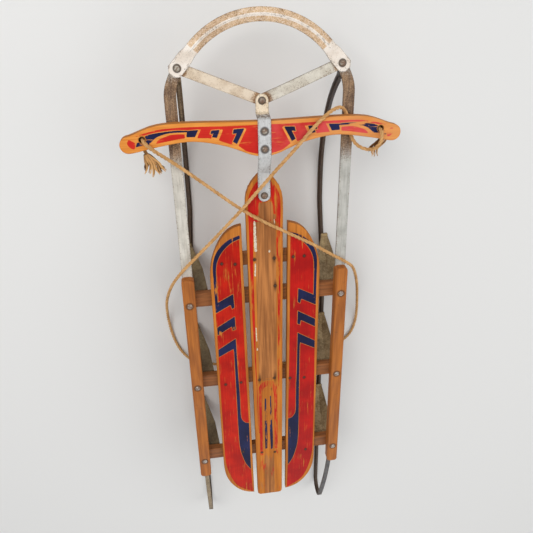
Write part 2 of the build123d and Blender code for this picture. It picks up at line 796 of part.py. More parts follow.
# Bolts and rivets of the steering gear
deck_pivot = bolt(
    0,
    deck_pivot_y,
    bench_top,
    strap_deck + strap_thick,
    pivot_radius,
    pivot_head_radius,
    pivot_head_high,
    nut_high,
)
bow_pivot = bolt(
    0,
    bow_pivot_y,
    brace_top - bar_thick - face_slack,
    strap_bow + strap_thick,
    pivot_radius,
    pivot_head_radius,
    pivot_head_high,
    nut_high,
)
with BuildPart() as deck_washer:
    with BuildSketch(Plane.XY.offset(slat_top)):
        with Locations((0, deck_pivot_y)):
            Circle(washer_radius)
            Circle(pivot_radius + hole_slack, mode=Mode.SUBTRACT)
    extrude(amount=washer_thick)
steering_small_parts = [
    ("deck_pivot_bolt", deck_pivot),
    ("bow_pivot_bolt", bow_pivot),
    ("deck_washer", deck_washer.part),
]
rivet_middle = dome_middle(rivet_head_radius, rivet_head_high)
for rivet_name, rivet_y in (("rivet_front", front_rivet_y), ("rivet_rear", rear_rivet_y)):
    with BuildPart() as rivet:
        with BuildSketch(Plane.YZ):
            with BuildLine():
                low = crossbar_bottom
                high = crossbar_top + strap_thick
                Polyline(
                    (rivet_y, low - rivet_head_high),
                    (rivet_y + rivet_head_radius * 0.7, low - rivet_head_high),
                    (rivet_y + rivet_head_radius, low),
                    (rivet_y + rivet_radius, low),
                    (rivet_y + rivet_radius, high),
                    (rivet_y + rivet_head_radius, high),
                )
                ThreePointArc(
                    (rivet_y + rivet_head_radius, high),
                    (rivet_y + rivet_middle[0], high + rivet_middle[1]),
                    (rivet_y, high + rivet_head_high),
                )
                Line((rivet_y, high + rivet_head_high), (rivet_y, low - rivet_head_high))
            make_face()
        revolve(axis=Axis((0, rivet_y, 0), (0, 0, 1)))
    steering_small_parts.append((rivet_name, rivet.part))
for side_name, side in (("left", -1), ("right", 1)):
    bow_bolt = bolt(
        side * bolt_x,
        bolt_y,
        toe_under,
        bow_plate_top,
        pivot_radius,
        pivot_head_radius,
        pivot_head_high,
        nut_high,
    )
    steering_small_parts.append((f"bow_bolt_{side_name}", bow_bolt))
for small_name, small_part in steering_small_parts:
    small_part.label = small_name
    export_step(small_part, f"parts/{small_name}.step")

# Pull rope: up through the left hole, over the deck, down outside the right rail,
# across the floor over both runners, up again and round the bar into the right hole
rope_knot_top = crossbar_bottom - 0.2
rope_over_bar = crossbar_top + rope_diameter / 2 + 0.8
rope_under_bar = crossbar_bottom - 4.8
rope_on_deck = slat_top + rope_diameter / 2 + 0.3
rope_on_floor = rope_diameter / 2 + 0.2
rope_over_runner = web_top + rope_diameter / 2 + 3.0
rope_route = (
    (-rope_hole_x, rope_hole_y, rope_knot_top),
    (-rope_hole_x, rope_hole_y, rope_over_bar + 4),
    (-184, 405, rope_over_bar + 1),
    (-160, 383, 151),
    (-126, 355, 147),
    (-86, 321, 146),
    (-44, 286, rope_on_deck),
    (-3, 259, rope_on_deck),
    (45, 232, rope_on_deck),
    (90, 207, rope_on_deck + 0.7),
    (122, 185, 144.2),
    (146, 169, 140.8),
    (163, 157, 138.0),
    (179, 141, 127),
    (194, 105, 104),
    (209, 62, 71),
    (222, 18, 37),
    (232, -28, 12),
    (234, -70, rope_on_floor),
    (224, -106, rope_on_floor),
    (200, -129, rope_on_floor),
    (174, -139, 9),
    (148, -144, rope_over_runner),
    (122, -152, 8.5),
    (92, -164, rope_on_floor),
    (50, -182, rope_on_floor),
    (0, -190, rope_on_floor),
    (-50, -181, rope_on_floor),
    (-93, -163, rope_on_floor),
    (-122, -151, 8.5),
    (-148, -141, rope_over_runner),
    (-171, -128, 9),
    (-189, -104, rope_on_floor),
    (-200, -68, rope_on_floor),
    (-205, -26, 8),
    (-205, 16, 27),
    (-201, 56, 57),
    (-192, 96, 91),
    (-180, 132, 120),
    (-160, 165, 139),
    (-130, 197, 145.5),
    (-90, 237, 148.5),
    (-44, 286, rope_on_deck + 8.4),
    (-10, 325, 157),
    (20, 359, 160),
    (52, 396, rope_over_bar + 1.5),
    (80, 427, rope_over_bar),
    (100, 447, rope_over_bar),
    (118, 457.5, 160.5),
    (135, 458, 146),
    (147, 444, rope_under_bar),
    (151, 421, rope_under_bar),
    (157, 402, rope_under_bar),
    (168, 388, 141.5),
    (185, 382, 149),
    (197, 388, 161),
    (201, 403, rope_over_bar + 3),
    (rope_hole_x, rope_hole_y, rope_over_bar + 5),
    (rope_hole_x, rope_hole_y, rope_knot_top),
)


def bend_radii(points):
    """The largest arc that each corner's two runs allow."""
    radii = []
    for before, corner, after in zip(points, points[1:], points[2:]):
        run_in = Vector(corner) - Vector(before)
        run_out = Vector(after) - Vector(corner)
        half_turn = math.radians(run_in.get_angle(run_out)) / 2
        radii.append(0.45 * min(run_in.length, run_out.length) / math.tan(half_turn))
    return radii


rope_radii = bend_radii(rope_route)
with BuildPart() as pull_rope:
    with BuildLine() as rope_line:
        FilletPolyline(*rope_route, radius=rope_radii)
    with BuildSketch(Plane(origin=rope_line.line @ 0, z_dir=rope_line.line % 0)):
        Circle(rope_diameter / 2)
    sweep(path=rope_line.wires()[0])
pull_rope.part.label = "pull_rope"
export_step(pull_rope.part, "parts/pull_rope.step")
rope_length = rope_line.wires()[0].length
rope_section = math.pi * rope_diameter**2 / 4
print("rope length", round(rope_length, 1))
print("rope radii", [round(radius, 1) for radius in rope_radii])
print("rope volume share", round(pull_rope.part.volume / (rope_section * rope_length), 4))

# Knots under the crossbar, each with its short frayed tassel
for side_name, knot_x, tassel_end in (
    ("left", -rope_hole_x, (-187.0, 358.0, 118.0)),
    ("right", rope_hole_x, (205.0, 361.0, 117.0)),
):
    with BuildPart() as rope_end:
        knot_spot = Vector(knot_x, rope_hole_y, rope_knot_top - 0.87 * knot_radius)
        with Locations(tuple(knot_spot)):
            Sphere(knot_radius)
        with BuildSketch(Plane.XY.offset(rope_knot_top)):
            with Locations((knot_x, rope_hole_y)):
                Rectangle(4 * knot_radius, 4 * knot_radius)
        extrude(amount=2 * knot_radius, mode=Mode.SUBTRACT)
        lean = Vector(*tassel_end) - knot_spot
        level = (lean.Y, -lean.X, 0)
        for share, half_wide, half_thick in (
            (0.0, rope_diameter / 2, rope_diameter / 2 - 0.1),
            (0.4, rope_diameter / 2 + 0.2, rope_diameter / 2),
            (0.65, tassel_half_wide * 0.62, tassel_half_thick * 0.8),
            (1.0, tassel_half_wide, tassel_half_thick),
        ):
            with BuildSketch(Plane(origin=tuple(knot_spot + lean * share), x_dir=level, z_dir=tuple(lean))):
                Ellipse(half_wide, half_thick)
        loft()
    rope_end.part.label = f"rope_end_{side_name}"
    export_step(rope_end.part, f"parts/rope_end_{side_name}.step")
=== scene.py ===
import math
import random

import bmesh
import bpy
import numpy as np
from mathutils import Matrix, Vector


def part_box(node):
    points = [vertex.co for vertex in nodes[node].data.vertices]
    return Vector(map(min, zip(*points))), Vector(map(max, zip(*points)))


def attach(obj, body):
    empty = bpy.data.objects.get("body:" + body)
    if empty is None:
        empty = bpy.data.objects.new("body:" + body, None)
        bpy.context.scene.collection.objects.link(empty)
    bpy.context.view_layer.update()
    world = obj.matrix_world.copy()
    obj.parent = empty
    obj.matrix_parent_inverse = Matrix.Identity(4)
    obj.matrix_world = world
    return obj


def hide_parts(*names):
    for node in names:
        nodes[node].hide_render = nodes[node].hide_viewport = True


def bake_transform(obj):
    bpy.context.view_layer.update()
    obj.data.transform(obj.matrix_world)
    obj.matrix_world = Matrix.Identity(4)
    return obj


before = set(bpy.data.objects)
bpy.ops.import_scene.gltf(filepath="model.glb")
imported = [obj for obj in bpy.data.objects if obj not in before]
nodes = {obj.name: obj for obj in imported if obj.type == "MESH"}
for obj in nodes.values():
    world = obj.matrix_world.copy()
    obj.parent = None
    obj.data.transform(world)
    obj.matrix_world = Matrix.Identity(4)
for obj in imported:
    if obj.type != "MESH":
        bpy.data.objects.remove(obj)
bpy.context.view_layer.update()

# Steerable runner sled: everything is in metres, +Y to the bow, +X to the rider's right.
# Outlines of paint are in millimetres on the top of a board, as |x| and y where both sides share them.
# Colours are red, green and blue from 0 to 255. A pair of them is the pale one and the dark one.
MM = 0.001
SHARP_ANGLE = math.radians(32)


def colour(red, green, blue):
    """A colour written from 0 to 255, as the linear colour that a shader takes."""
    shares = [value / 255 for value in (red, green, blue)]
    return tuple(s / 12.92 if s <= 0.04045 else ((s + 0.055) / 1.055) ** 2.4 for s in shares) + (1.0,)


def in_scene(name, data):
    """A new object in the scene that shows the data."""
    thing = bpy.data.objects.new(name, data)
    bpy.context.scene.collection.objects.link(thing)
    return thing


# Camera at the photograph's angle
CAMERA_PLACE = Vector((-0.1166, 0.6197, 1.0293))
CAMERA_FORWARD = Vector((0.1180, -0.4531, -0.8836)).normalized()
CAMERA_UP = Vector((0.0789, 0.8913, -0.4465))
CAMERA_LENS = 35.345


def make_camera():
    """The camera that was fitted to the photograph."""
    data = bpy.data.cameras.new("camera")
    data.lens = CAMERA_LENS
    camera = in_scene("camera", data)
    right = CAMERA_FORWARD.cross(CAMERA_UP).normalized()
    up = right.cross(CAMERA_FORWARD)
    turn = Matrix((right, up, -CAMERA_FORWARD)).transposed()
    camera.matrix_world = Matrix.Translation(CAMERA_PLACE) @ turn.to_4x4()
    bpy.context.scene.camera = camera


class Tree:
    """A tree of shader nodes, and short ways to add to it."""

    def __init__(self, tree):
        self.tree = tree

    def fill(self, node, inputs):
        """Links outputs to the node's inputs, or sets the inputs to constants."""
        for socket, value in dict(inputs).items():
            if isinstance(value, bpy.types.NodeSocket):
                self.tree.links.new(value, node.inputs[socket])
            else:
                node.inputs[socket].default_value = value

    def add(self, kind, inputs=(), out=0, **settings):
        """Adds a node with its inputs and settings, and returns one of its outputs."""
        node = self.tree.nodes.new(kind)
        for name, value in settings.items():
            setattr(node, name, value)
        self.fill(node, inputs)
        return node.outputs[out]

    def math(self, operation, first, second=0.0):
        """One step of arithmetic."""
        return self.add("ShaderNodeMath", {0: first, 1: second}, operation=operation)

    def times(self, first, second):
        """The product of two values."""
        return self.math("MULTIPLY", first, second)

    def minus(self, first, second=0.5):
        """The difference of two values."""
        return self.math("SUBTRACT", first, second)

    def total(self, *terms):
        """The sum of values, each of them written with its weight."""
        result = self.times(*terms[0])
        for term in terms[1:]:
            result = self.math("ADD", result, self.times(*term))
        return result

    def chosen(self, operation, values):
        """The least or the greatest of the values."""
        result = values[0]
        for value in values[1:]:
            result = self.math(operation, result, value)
        return result

    def most(self, *values):
        """The greatest of the values."""
        return self.chosen("MAXIMUM", values)

    def vector(self, operation, first, second=(0, 0, 0), out="Value"):
        """One step of arithmetic with vectors."""
        return self.add("ShaderNodeVectorMath", {0: first, 1: second}, out, operation=operation)

    def step(self, value, low, high, out_low=0.0, out_high=1.0):
        """A smooth rise from out_low to out_high as the value goes from low to high."""
        inputs = enumerate((value, low, high, out_low, out_high))
        return self.add("ShaderNodeMapRange", inputs, interpolation_type="SMOOTHSTEP")


def stretch(axis, pace):
    """Scales that make marks run long along one axis."""
    return tuple(pace if number == axis else 1.0 for number in range(3))


class Look(Tree):
    """A material while it is made."""

    def __init__(self, name, attribute=None):
        self.material = bpy.data.materials.new(name)
        self.material.use_nodes = True
        super().__init__(self.material.node_tree)
        self.shader = self.tree.nodes["Principled BSDF"]
        if attribute:
            self.place = self.add("ShaderNodeAttribute", out="Vector", attribute_name=attribute)
        else:
            self.place = self.add("ShaderNodeTexCoord", out="Object")

    def shade(self, tint, roughness, shine, **others):
        """Sets the shader's colour, roughness and shine, and others of its inputs."""
        inputs = {"Base Color": tint, "Roughness": roughness, "Specular IOR Level": shine}
        self.fill(self.shader, inputs | others)

    def done(self, relief, strength, distance, *values, **others):
        """Sets the shader, gives it a low relief, and returns the material."""
        inputs = {"Height": relief, "Strength": strength, "Distance": distance}
        self.shade(*values, Normal=self.add("ShaderNodeBump", inputs), **others)
        return self.material

    def stretched(self, scales):
        """The place, with each axis times its own scale."""
        return self.add("ShaderNodeMapping", {"Vector": self.place, "Scale": scales})

    def axis(self, letter):
        """The place along one axis."""
        return self.add("ShaderNodeSeparateXYZ", {0: self.place}, letter)

    def noise(self, scale, scales=(1, 1, 1), detail=3.0, roughness=0.55, distortion=0.0):
        """Random clouds from 0 to 1."""
        inputs = {"Vector": self.stretched(scales), "Scale": scale, "Detail": detail}
        inputs |= {"Roughness": roughness, "Distortion": distortion}
        return self.add("ShaderNodeTexNoise", inputs, "Fac")

    def mix(self, share, first, second):
        """The first colour where the share is 0, and the second where it is 1."""
        first, second = (colour(*tint) if isinstance(tint, tuple) else tint for tint in (first, second))
        return self.add("ShaderNodeMix", {0: share, 6: first, 7: second}, 2, data_type="RGBA")

    def attribute(self, name):
        """A number that the mesh carries."""
        return self.add("ShaderNodeAttribute", out="Fac", attribute_name=name)

    def edge(self, radius):
        """0 on a flat face, rising towards 1 at its edges within the radius."""
        rounded = self.add("ShaderNodeBevel", {"Radius": radius}, samples=4)
        flat = self.add("ShaderNodeNewGeometry", out="Normal")
        return self.step(self.vector("DOT_PRODUCT", rounded, flat), 0.98, 0.75)

    def upright(self):
        """1 on faces that stand upright, 0 on faces that look up or down."""
        normal = self.add("ShaderNodeNewGeometry", out="Normal")
        height = self.math("ABSOLUTE", self.add("ShaderNodeSeparateXYZ", {0: normal}, "Z"))
        return self.step(height, 0.35, 0.65, 1.0, 0.0)

    def near(self, places, radius, fade):
        """1 within the radius of any of the places, fading to 0."""
        closest = self.chosen("MINIMUM", [self.vector("DISTANCE", self.place, place) for place in places])
        return self.step(closest, radius, radius + fade, 1.0, 0.0)


# Pull rope: its route is the one of the solid, in metres
ROPE_ROUTE = (
    (-0.2, 0.422, 0.1443), (-0.2, 0.422, 0.1705), (-0.184, 0.405, 0.1675), (-0.16, 0.383, 0.151),
    (-0.126, 0.355, 0.147), (-0.086, 0.321, 0.146), (-0.044, 0.286, 0.1455), (-0.003, 0.259, 0.1455),
    (0.045, 0.232, 0.1455), (0.09, 0.207, 0.1462), (0.122, 0.185, 0.1442), (0.146, 0.169, 0.1408),
    (0.163, 0.157, 0.138), (0.179, 0.141, 0.127), (0.194, 0.105, 0.104), (0.209, 0.062, 0.071),
    (0.222, 0.018, 0.037), (0.232, -0.028, 0.012), (0.234, -0.07, 0.0034), (0.224, -0.106, 0.0034),
    (0.2, -0.129, 0.0034), (0.174, -0.139, 0.009), (0.148, -0.144, 0.0172), (0.122, -0.152, 0.0085),
    (0.092, -0.164, 0.0034), (0.05, -0.182, 0.0034), (0.000, -0.19, 0.0034), (-0.05, -0.181, 0.0034),
    (-0.093, -0.163, 0.0034), (-0.122, -0.151, 0.0085), (-0.148, -0.141, 0.0172), (-0.171, -0.128, 0.009),
    (-0.189, -0.104, 0.0034), (-0.2, -0.068, 0.0034), (-0.205, -0.026, 0.008), (-0.205, 0.016, 0.027),
    (-0.201, 0.056, 0.057), (-0.192, 0.096, 0.091), (-0.18, 0.132, 0.12), (-0.16, 0.165, 0.139),
    (-0.13, 0.197, 0.1455), (-0.09, 0.237, 0.1485), (-0.044, 0.286, 0.1539), (-0.01, 0.325, 0.157),
    (0.02, 0.359, 0.16), (0.052, 0.396, 0.168), (0.08, 0.427, 0.1665), (0.1, 0.447, 0.1665),
    (0.118, 0.4575, 0.1605), (0.135, 0.458, 0.146), (0.147, 0.444, 0.1397), (0.151, 0.421, 0.1397),
    (0.157, 0.402, 0.1397), (0.168, 0.388, 0.1415), (0.185, 0.382, 0.149), (0.197, 0.388, 0.161),
    (0.201, 0.403, 0.1695), (0.2, 0.422, 0.1715), (0.2, 0.422, 0.1443),
)
ROPE_LAY = 0.024
STRAND_RADIUS = 0.00178
STRAND_OFFSET = 0.0015
STRAND_SIDES = 8
STRANDS = 3

# Looks of the rope, as pairs of colours
ROPE_TAN = ((222, 176, 118), (160, 112, 62))
FRAYED_TAN = ((220, 172, 112), (104, 68, 38))

# Knots under the crossbar and the frayed ends below them: an end hangs from its knot to its tip, opens after
# its neck and bulges sideways, and its clumps of yarn fan out by flare to each side.
TASSELS = {
    "left": dict(
        knot=(-0.2, 0.422, 0.1378), tip=(-0.187, 0.3515, 0.1155), neck=0.5, bulge=0.005,
        seed=5, clumps=12, thick=0.0011, flare=0.016,
    ),
    "right": dict(
        knot=(0.2, 0.422, 0.1378), tip=(0.205, 0.361, 0.117), neck=0.3, bulge=-0.018,
        seed=11, clumps=6, thick=0.0008, flare=0.007,
    ),
}
KNOT_SIZE = 0.00155
KNOT_DEPTH = 1.35
KNOT_SCALE = 0.82
KNOT_LAY = 0.018
YARNS = 3
YARN_SIDES = 6
YARN_HOOK = 0.005
YARN_SWAY = 0.0012


def rope_line():
    """Points of the smooth line that has the route's points as its control points."""
    curve = bpy.data.curves.new("rope_route", "CURVE")
    curve.dimensions = "3D"
    curve.resolution_u = 18
    spline = curve.splines.new("NURBS")
    spline.points.add(len(ROPE_ROUTE) - 1)
    for point, place in zip(spline.points, ROPE_ROUTE):
        point.co = (*place, 1.0)
    spline.order_u = 3
    spline.use_endpoint_u = True
    holder = bpy.data.objects.new("rope_route", curve)
    mesh = bpy.data.meshes.new_from_object(holder)
    return np.array([vertex.co for vertex in mesh.vertices], float)


def across(points):
    """Two directions across a path at each point, which follow it without twisting."""
    unlike_the_path = (0.31, 0.17, 0.93)
    along = np.gradient(points, axis=0)
    along /= np.linalg.norm(along, axis=1)[:, None]
    start = np.cross(along[0], unlike_the_path)
    sides, others = [], []
    side = start / np.linalg.norm(start)
    for direction in along:
        side = side - direction * (side @ direction)
        side = side / np.linalg.norm(side)
        sides.append(side)
        others.append(np.cross(direction, side))
    return np.array(sides), np.array(others)


def travelled(points):
    """How far each point lies along the path."""
    runs = np.linalg.norm(np.diff(points, axis=0), axis=1)
    return np.concatenate(([0.0], np.cumsum(runs)))


class Skin:
    """Vertices and faces of tubes that are gathered into one mesh."""

    def __init__(self):
        self.places = []
        self.threads = []
        self.painted_shades = []
        self.faces = []

    def tube(self, centres, radii, sides, side, other, reach, shade=0.6):
        """One tube with closed ends; its threads say how far each point lies across and along it."""
        first = len(self.places)
        last = first + (len(centres) - 1) * sides
        for centre, radius, way, other_way, far in zip(centres, radii, side, other, reach):
            for corner in range(sides):
                turn = 2 * math.pi * corner / sides
                right, up = radius * math.cos(turn), radius * math.sin(turn)
                self.places.append(centre + way * right + other_way * up)
                self.threads.append((right, up, far))
                self.painted_shades.append(shade)
        for low in range(first, last, sides):
            for corner in range(sides):
                after = (corner + 1) % sides
                self.faces.append((low + corner, low + after, low + sides + after, low + sides + corner))
        self.faces.append(tuple(range(first + sides - 1, first - 1, -1)))
        self.faces.append(tuple(range(last, last + sides)))

    def laid_rope(self, points, scale=1.0, lay=ROPE_LAY, shade=0.6):
        """Strands laid round a path, each with its own part of the fibres' pattern."""
        side, other = across(points)
        reach = travelled(points)
        for strand in range(STRANDS):
            turn = 2 * math.pi * (reach / lay + strand / STRANDS)
            ways = side * np.cos(turn)[:, None] + other * np.sin(turn)[:, None]
            centres = points + ways * STRAND_OFFSET * scale
            radii = np.full(len(points), STRAND_RADIUS * scale)
            self.tube(centres, radii, STRAND_SIDES, side, other, reach + strand * 0.37, shade)


def piece(name, places, faces, material, replaced=()):
    """A mesh object with smooth faces and sharp edges, which stands for the nodes it replaces."""
    mesh = bpy.data.meshes.new(name)
    mesh.from_pydata([tuple(place) for place in places], [], [tuple(face) for face in faces])
    mesh.shade_smooth()
    mesh.set_sharp_from_angle(angle=SHARP_ANGLE)
    mesh.materials.append(material)
    thing = in_scene(name, mesh)
    if replaced:
        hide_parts(*replaced)
    return thing


def store(thing, name, values, kind="FLOAT"):
    """Keeps a number or a vector for each vertex, which the material reads by name."""
    attribute = thing.data.attributes.new(name, kind, "POINT")
    key = "value" if kind == "FLOAT" else "vector"
    attribute.data.foreach_set(key, np.asarray(values, np.float32).ravel())


def rope_look(name, tan, with_painted_shade=False):
    """Tan fibres along the strands in slow patches; with painted shade, yarns are darker where the shade
    attribute is low.
    """
    pale, dark = tan
    look = Look(name, attribute="thread")
    fibres = look.noise(2600, stretch(2, 0.06), roughness=0.65)
    tone = look.total((fibres, 0.55), (look.noise(28), 0.5))
    if with_painted_shade:
        # Painted shade: the knot, the neck and the lower clumps are darker
        tone = look.total((tone, 1), (look.minus(look.attribute("shade")), 0.42))
    tint = look.mix(look.step(tone, 0.34, 0.66), dark, pale)
    roughness = look.step(fibres, 0.2, 0.8, 0.95, 0.75)
    return look.done(fibres, 0.5, 0.0004, tint, roughness, 0.15)


def knot_path(middle, lean):
    """An overhand knot drawn tight: a closed trefoil, its flat side across the lean."""
    turns = np.linspace(0, 2 * math.pi, 72)
    right = np.sin(turns) + 2 * np.sin(2 * turns)
    ahead = np.cos(turns) - 2 * np.cos(2 * turns)
    up = -KNOT_DEPTH * np.sin(3 * turns)
    tilt = Vector((0, 0, 1)).rotation_difference(lean.normalized()).to_matrix()
    return np.stack((right, ahead, up), axis=1) * KNOT_SIZE @ np.array(tilt).T + np.array(middle)


def tassel(side, material, knot, tip, neck, bulge, seed, clumps, thick, flare):
    """A tight knot under the bar, a short neck, and the opened clumps of yarn of the rope's end."""
    draws = random.Random(seed)
    skin = Skin()
    knot = Vector(knot)
    lean = Vector(tip) - knot
    level = Vector((lean.y, -lean.x, 0)).normalized()
    lift = lean.cross(level).normalized()

    def along(share):
        """A point of the end's middle line, from the knot at 0 to the tip at 1."""
        return knot + lean * share + level * bulge * math.sin(math.pi * min(1.0, share / 0.7))

    # The knot and the neck get a painted shade
    skin.laid_rope(knot_path(knot, lean), KNOT_SCALE, KNOT_LAY, shade=0.2)
    skin.laid_rope(np.array([along(share) for share in np.linspace(0.05, neck, 12)]), shade=0.35)
    for clump in range(clumps):
        sideways = (2 * clump + 1) / clumps - 1 + draws.uniform(-0.12, 0.12)
        top = clump % 2 == 0
        upwards = -1.0 if top else 0.9
        reach = draws.uniform(0.86, 1.04)
        wave = draws.uniform(-1, 1)
        hook = draws.uniform(-0.5, 1.0) * YARN_HOOK * (1 if sideways > 0 else -1)
        for yarn in range(YARNS):
            turn = 2 * math.pi * yarn / YARNS + draws.uniform(-0.4, 0.4)
            # Top clumps are lighter and lower clumps darker, a painted shade
            shade = draws.uniform(0.3, 1.0) if top else draws.uniform(0.0, 0.25)
            apart = thick * draws.uniform(0.9, 1.5)
            cut = draws.uniform(0.92, 1.0)
            shares = np.linspace(0, 1, 14)
            path = []
            for share in shares:
                place = along(neck - 0.06 + (reach * cut - neck + 0.06) * share)
                open_out = 0.0016 + flare * share**0.62
                sway = math.sin(share * 6.0 + wave * 3) * YARN_SWAY * share
                twist = turn + share * 5.0
                fray = apart * (0.5 + 0.8 * share)
                place = place + level * (sideways * open_out + sway + hook * max(0.0, share - 0.6) ** 2 * 5)
                place = place + lift * (upwards * (0.0012 + 0.0042 * share**0.5) + sway * wave)
                place = place + level * (fray * math.cos(twist)) + lift * (fray * math.sin(twist))
                path.append(place)
            path = np.array(path)
            radii = thick * (0.85 + 0.3 * np.sin(shares * 3)) * (1 - 0.35 * shares**6)
            skin.tube(path, radii, YARN_SIDES, *across(path), travelled(path) + draws.uniform(0, 3), shade)
    thing = piece(f"tassel_{side}", skin.places, skin.faces, material, (f"rope_end_{side}",))
    store(thing, "thread", skin.threads, "FLOAT_VECTOR")
    store(thing, "shade", skin.painted_shades)
    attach(thing, "steering")
    return thing


def make_rope():
    """The rope over and under the sled, and its two ends below the crossbar."""
    points = rope_line()
    skin = Skin()
    skin.laid_rope(points)
    material = rope_look("rope_fibre", ROPE_TAN)
    frayed = rope_look("rope_frayed", FRAYED_TAN, with_painted_shade=True)
    rope = piece("rope", skin.places, skin.faces, material, ("pull_rope",))
    store(rope, "thread", skin.threads, "FLOAT_VECTOR")
    ends = [tassel(side, frayed, **sizes) for side, sizes in TASSELS.items()]
    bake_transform(rope)


class Slices:
    """A node's surface as convex faces, cut by planes; neighbours share every new point."""

    def __init__(self, node):
        mesh = nodes[node].data
        mesh.calc_loop_triangles()
        places = np.array([vertex.co for vertex in mesh.vertices], float)
        corners = np.array([triangle.vertices[:] for triangle in mesh.loop_triangles], int)
        first, index = np.unique(np.round(places, 6), axis=0, return_index=True, return_inverse=True)[1:]
        self.places = [tuple(place) for place in places[first]]
        corners = index.reshape(-1)[corners].tolist()
        self.faces = [ring for ring in corners if len(set(ring)) == 3]

    def cut(self, ring, axis, level, made):
        """The parts of one face below and above a plane across the axis."""
        below, above = [], []
        heights = [self.places[corner][axis] - level for corner in ring]
        heights = [0.0 if abs(height) < 1e-6 else height for height in heights]
        rest = zip(ring[1:] + ring[:1], heights[1:] + heights[:1])
        for here, height, (after, height_after) in zip(ring, heights, rest):
            if height <= 0:
                below.append(here)
            if height >= 0:
                above.append(here)
            if height * height_after < 0:
                key = (min(here, after), max(here, after))
                if key not in made:
                    share = height / (height - height_after)
                    start, end = self.places[here], self.places[after]
                    made[key] = len(self.places)
                    self.places.append(tuple(s + (e - s) * share for s, e in zip(start, end)))
                below.append(made[key])
                above.append(made[key])
        return below, above

    def slice(self, axis, step):
        """Cuts every face by planes one step apart across the axis."""
        made = {}
        faces = []
        for ring in self.faces:
            reach = [self.places[corner][axis] for corner in ring]
            first = math.floor(min(reach) / step + 0.001) + 1
            last = math.ceil(max(reach) / step - 0.001)
            for number in range(first, last):
                below, ring = self.cut(ring, axis, number * step, made)
                faces.append(below)
            faces.append(ring)
        self.faces = [ring for ring in faces if len(ring) > 2]


def gridded(node, steps):
    """A node's points and faces, cut by planes across each axis that has a step."""
    slices = Slices(node)
    for axis, step in enumerate(steps):
        if step:
            slices.slice(axis, step)
    return np.array(slices.places), slices.faces


def gap_to(points, start, end):
    """The distance from each point to a straight stretch of line."""
    run = end - start
    share = np.clip(((points - start) @ run) / (run @ run), 0, 1)
    offset = points - start - share[:, None] * run
    return np.hypot(offset[:, 0], offset[:, 1])


def inside(points, outline):
    """How far each point lies inside a closed outline, negative outside it."""
    outline = np.array(outline, float)
    nearest = np.full(len(points), 1e9)
    within = np.zeros(len(points), bool)
    for start, end in zip(outline, np.roll(outline, -1, axis=0)):
        run = end - start
        if not run.any():
            continue
        nearest = np.minimum(nearest, gap_to(points, start, end))
        if run[1]:
            straddles = (start[1] > points[:, 1]) != (end[1] > points[:, 1])
            crossing = start[0] + (points[:, 1] - start[1]) * run[0] / run[1]
            within ^= straddles & (points[:, 0] < crossing)
    return np.where(within, nearest, -nearest)


def shapes(points, outlines):
    """How far each point lies inside any of the outlines."""
    return np.max([inside(points, outline) for outline in outlines], axis=0)


def line_near(points, route, width):
    """1 on a line of points, falling to 0 at half the width from it."""
    route = np.array(route, float)
    gap = np.min([gap_to(points, start, end) for start, end in zip(route, route[1:])], axis=0)
    return np.clip(1 - gap / (width / 2), 0, 1)


def blob(points, middle, size):
    """1 in the middle of an oval patch, falling to 0 at its rim and beyond."""
    offset = (points - np.array(middle)) / np.array(size)
    return np.clip(1 - np.hypot(offset[:, 0], offset[:, 1]), 0, 1)


def blobs(points, rows):
    """The sum of oval patches, each a row of its strength, middle and half size."""
    return sum(strength * blob(points, middle, size) for strength, middle, size in rows)


def ramp(values, zero, one):
    """0 up to one value, 1 from the other, and straight in between."""
    return np.clip((values - zero) / (one - zero), 0, 1)


def mirrored(flat):
    """The points with the left side laid on the right."""
    return np.stack((np.abs(flat[:, 0]), flat[:, 1]), axis=1)


def flow(*points, parts=7):
    """A smooth line through the points."""
    knots = [np.array(point, float) for point in points]
    knots = [2 * knots[0] - knots[1]] + knots + [2 * knots[-1] - knots[-2]]
    line = []
    for before, start, end, after in zip(knots, knots[1:], knots[2:], knots[3:]):
        for part in range(parts):
            t = part / parts
            square = (2 * before - 5 * start + 4 * end - after) * t**2
            cube = (3 * start - before - 3 * end + after) * t**3
            line.append(tuple(0.5 * (2 * start + (end - before) * t + square + cube)))
    line.append(tuple(knots[-2]))
    return line


# Paint of the outer slats: the navy, the red, and rows of extra wear
SIDE_BAND = flow(
    (47, 234), (67.5, 226), (83, 213.5), (93.5, 199), (99, 183), (101, 165), (101, 130), (101, 70)
) + flow((95.7, 94), (95.5, 146), (94, 172), (89, 189), (79, 205), (64, 219), (47, 227))
SIDE_BARS = (
    SIDE_BAND,
    ((100.8, 69.5), (95.5, 93.5), (64.6, 110.5), (63.6, 79.5), (68.5, 76), (70.8, 86.5)),
    ((100.5, 17), (100.5, 35.5), (64, 58.5), (63.4, 27.6), (69, 25.3), (70.7, 35.8)),
    [(101.2, -37), (101, -18.5), (64.2, 5.5), (63.3, -85), (62.1, -130)]
    + flow((62, -198), (60.2, -212), (53, -222.5), (44.5, -225.5))
    + flow((44.4, -370.5), (54.9, -351), (61.3, -330), (66.3, -304), (68.6, -265), (69, -140))
    + [(69, -30), (69.9, -19.5)],
)
SIDE_RED = (
    flow((48.4, 230), (64, 222.5), (81, 209), (91.5, 194), (96.5, 178), (98.3, 150), (98.3, 80))
    + [(101.3, 70), (101.5, -40), (102.8, -145)]
    + flow((103.5, -289), (102, -343), (91, -392), (74, -424), (42, -446))
    + [(43.8, -370), (44.7, -225), (46.8, -50), (48, 140)]
)
SIDE_WEAR = {
    "left": (
        (0.24, (64, 226), (30, 16)),
        (0.45, (98, 120), (6, 22)),
        (0.55, (67, 30), (8, 14)),
        (0.5, (96, 22), (7, 10)),
        (0.09, (72, 150), (40, 75)),
    ),
    "right": ((0.26, (62, 224), (34, 15)), (0.1, (60, 190), (30, 30))),
}
NAIL_STAIN = (3.6, 9)

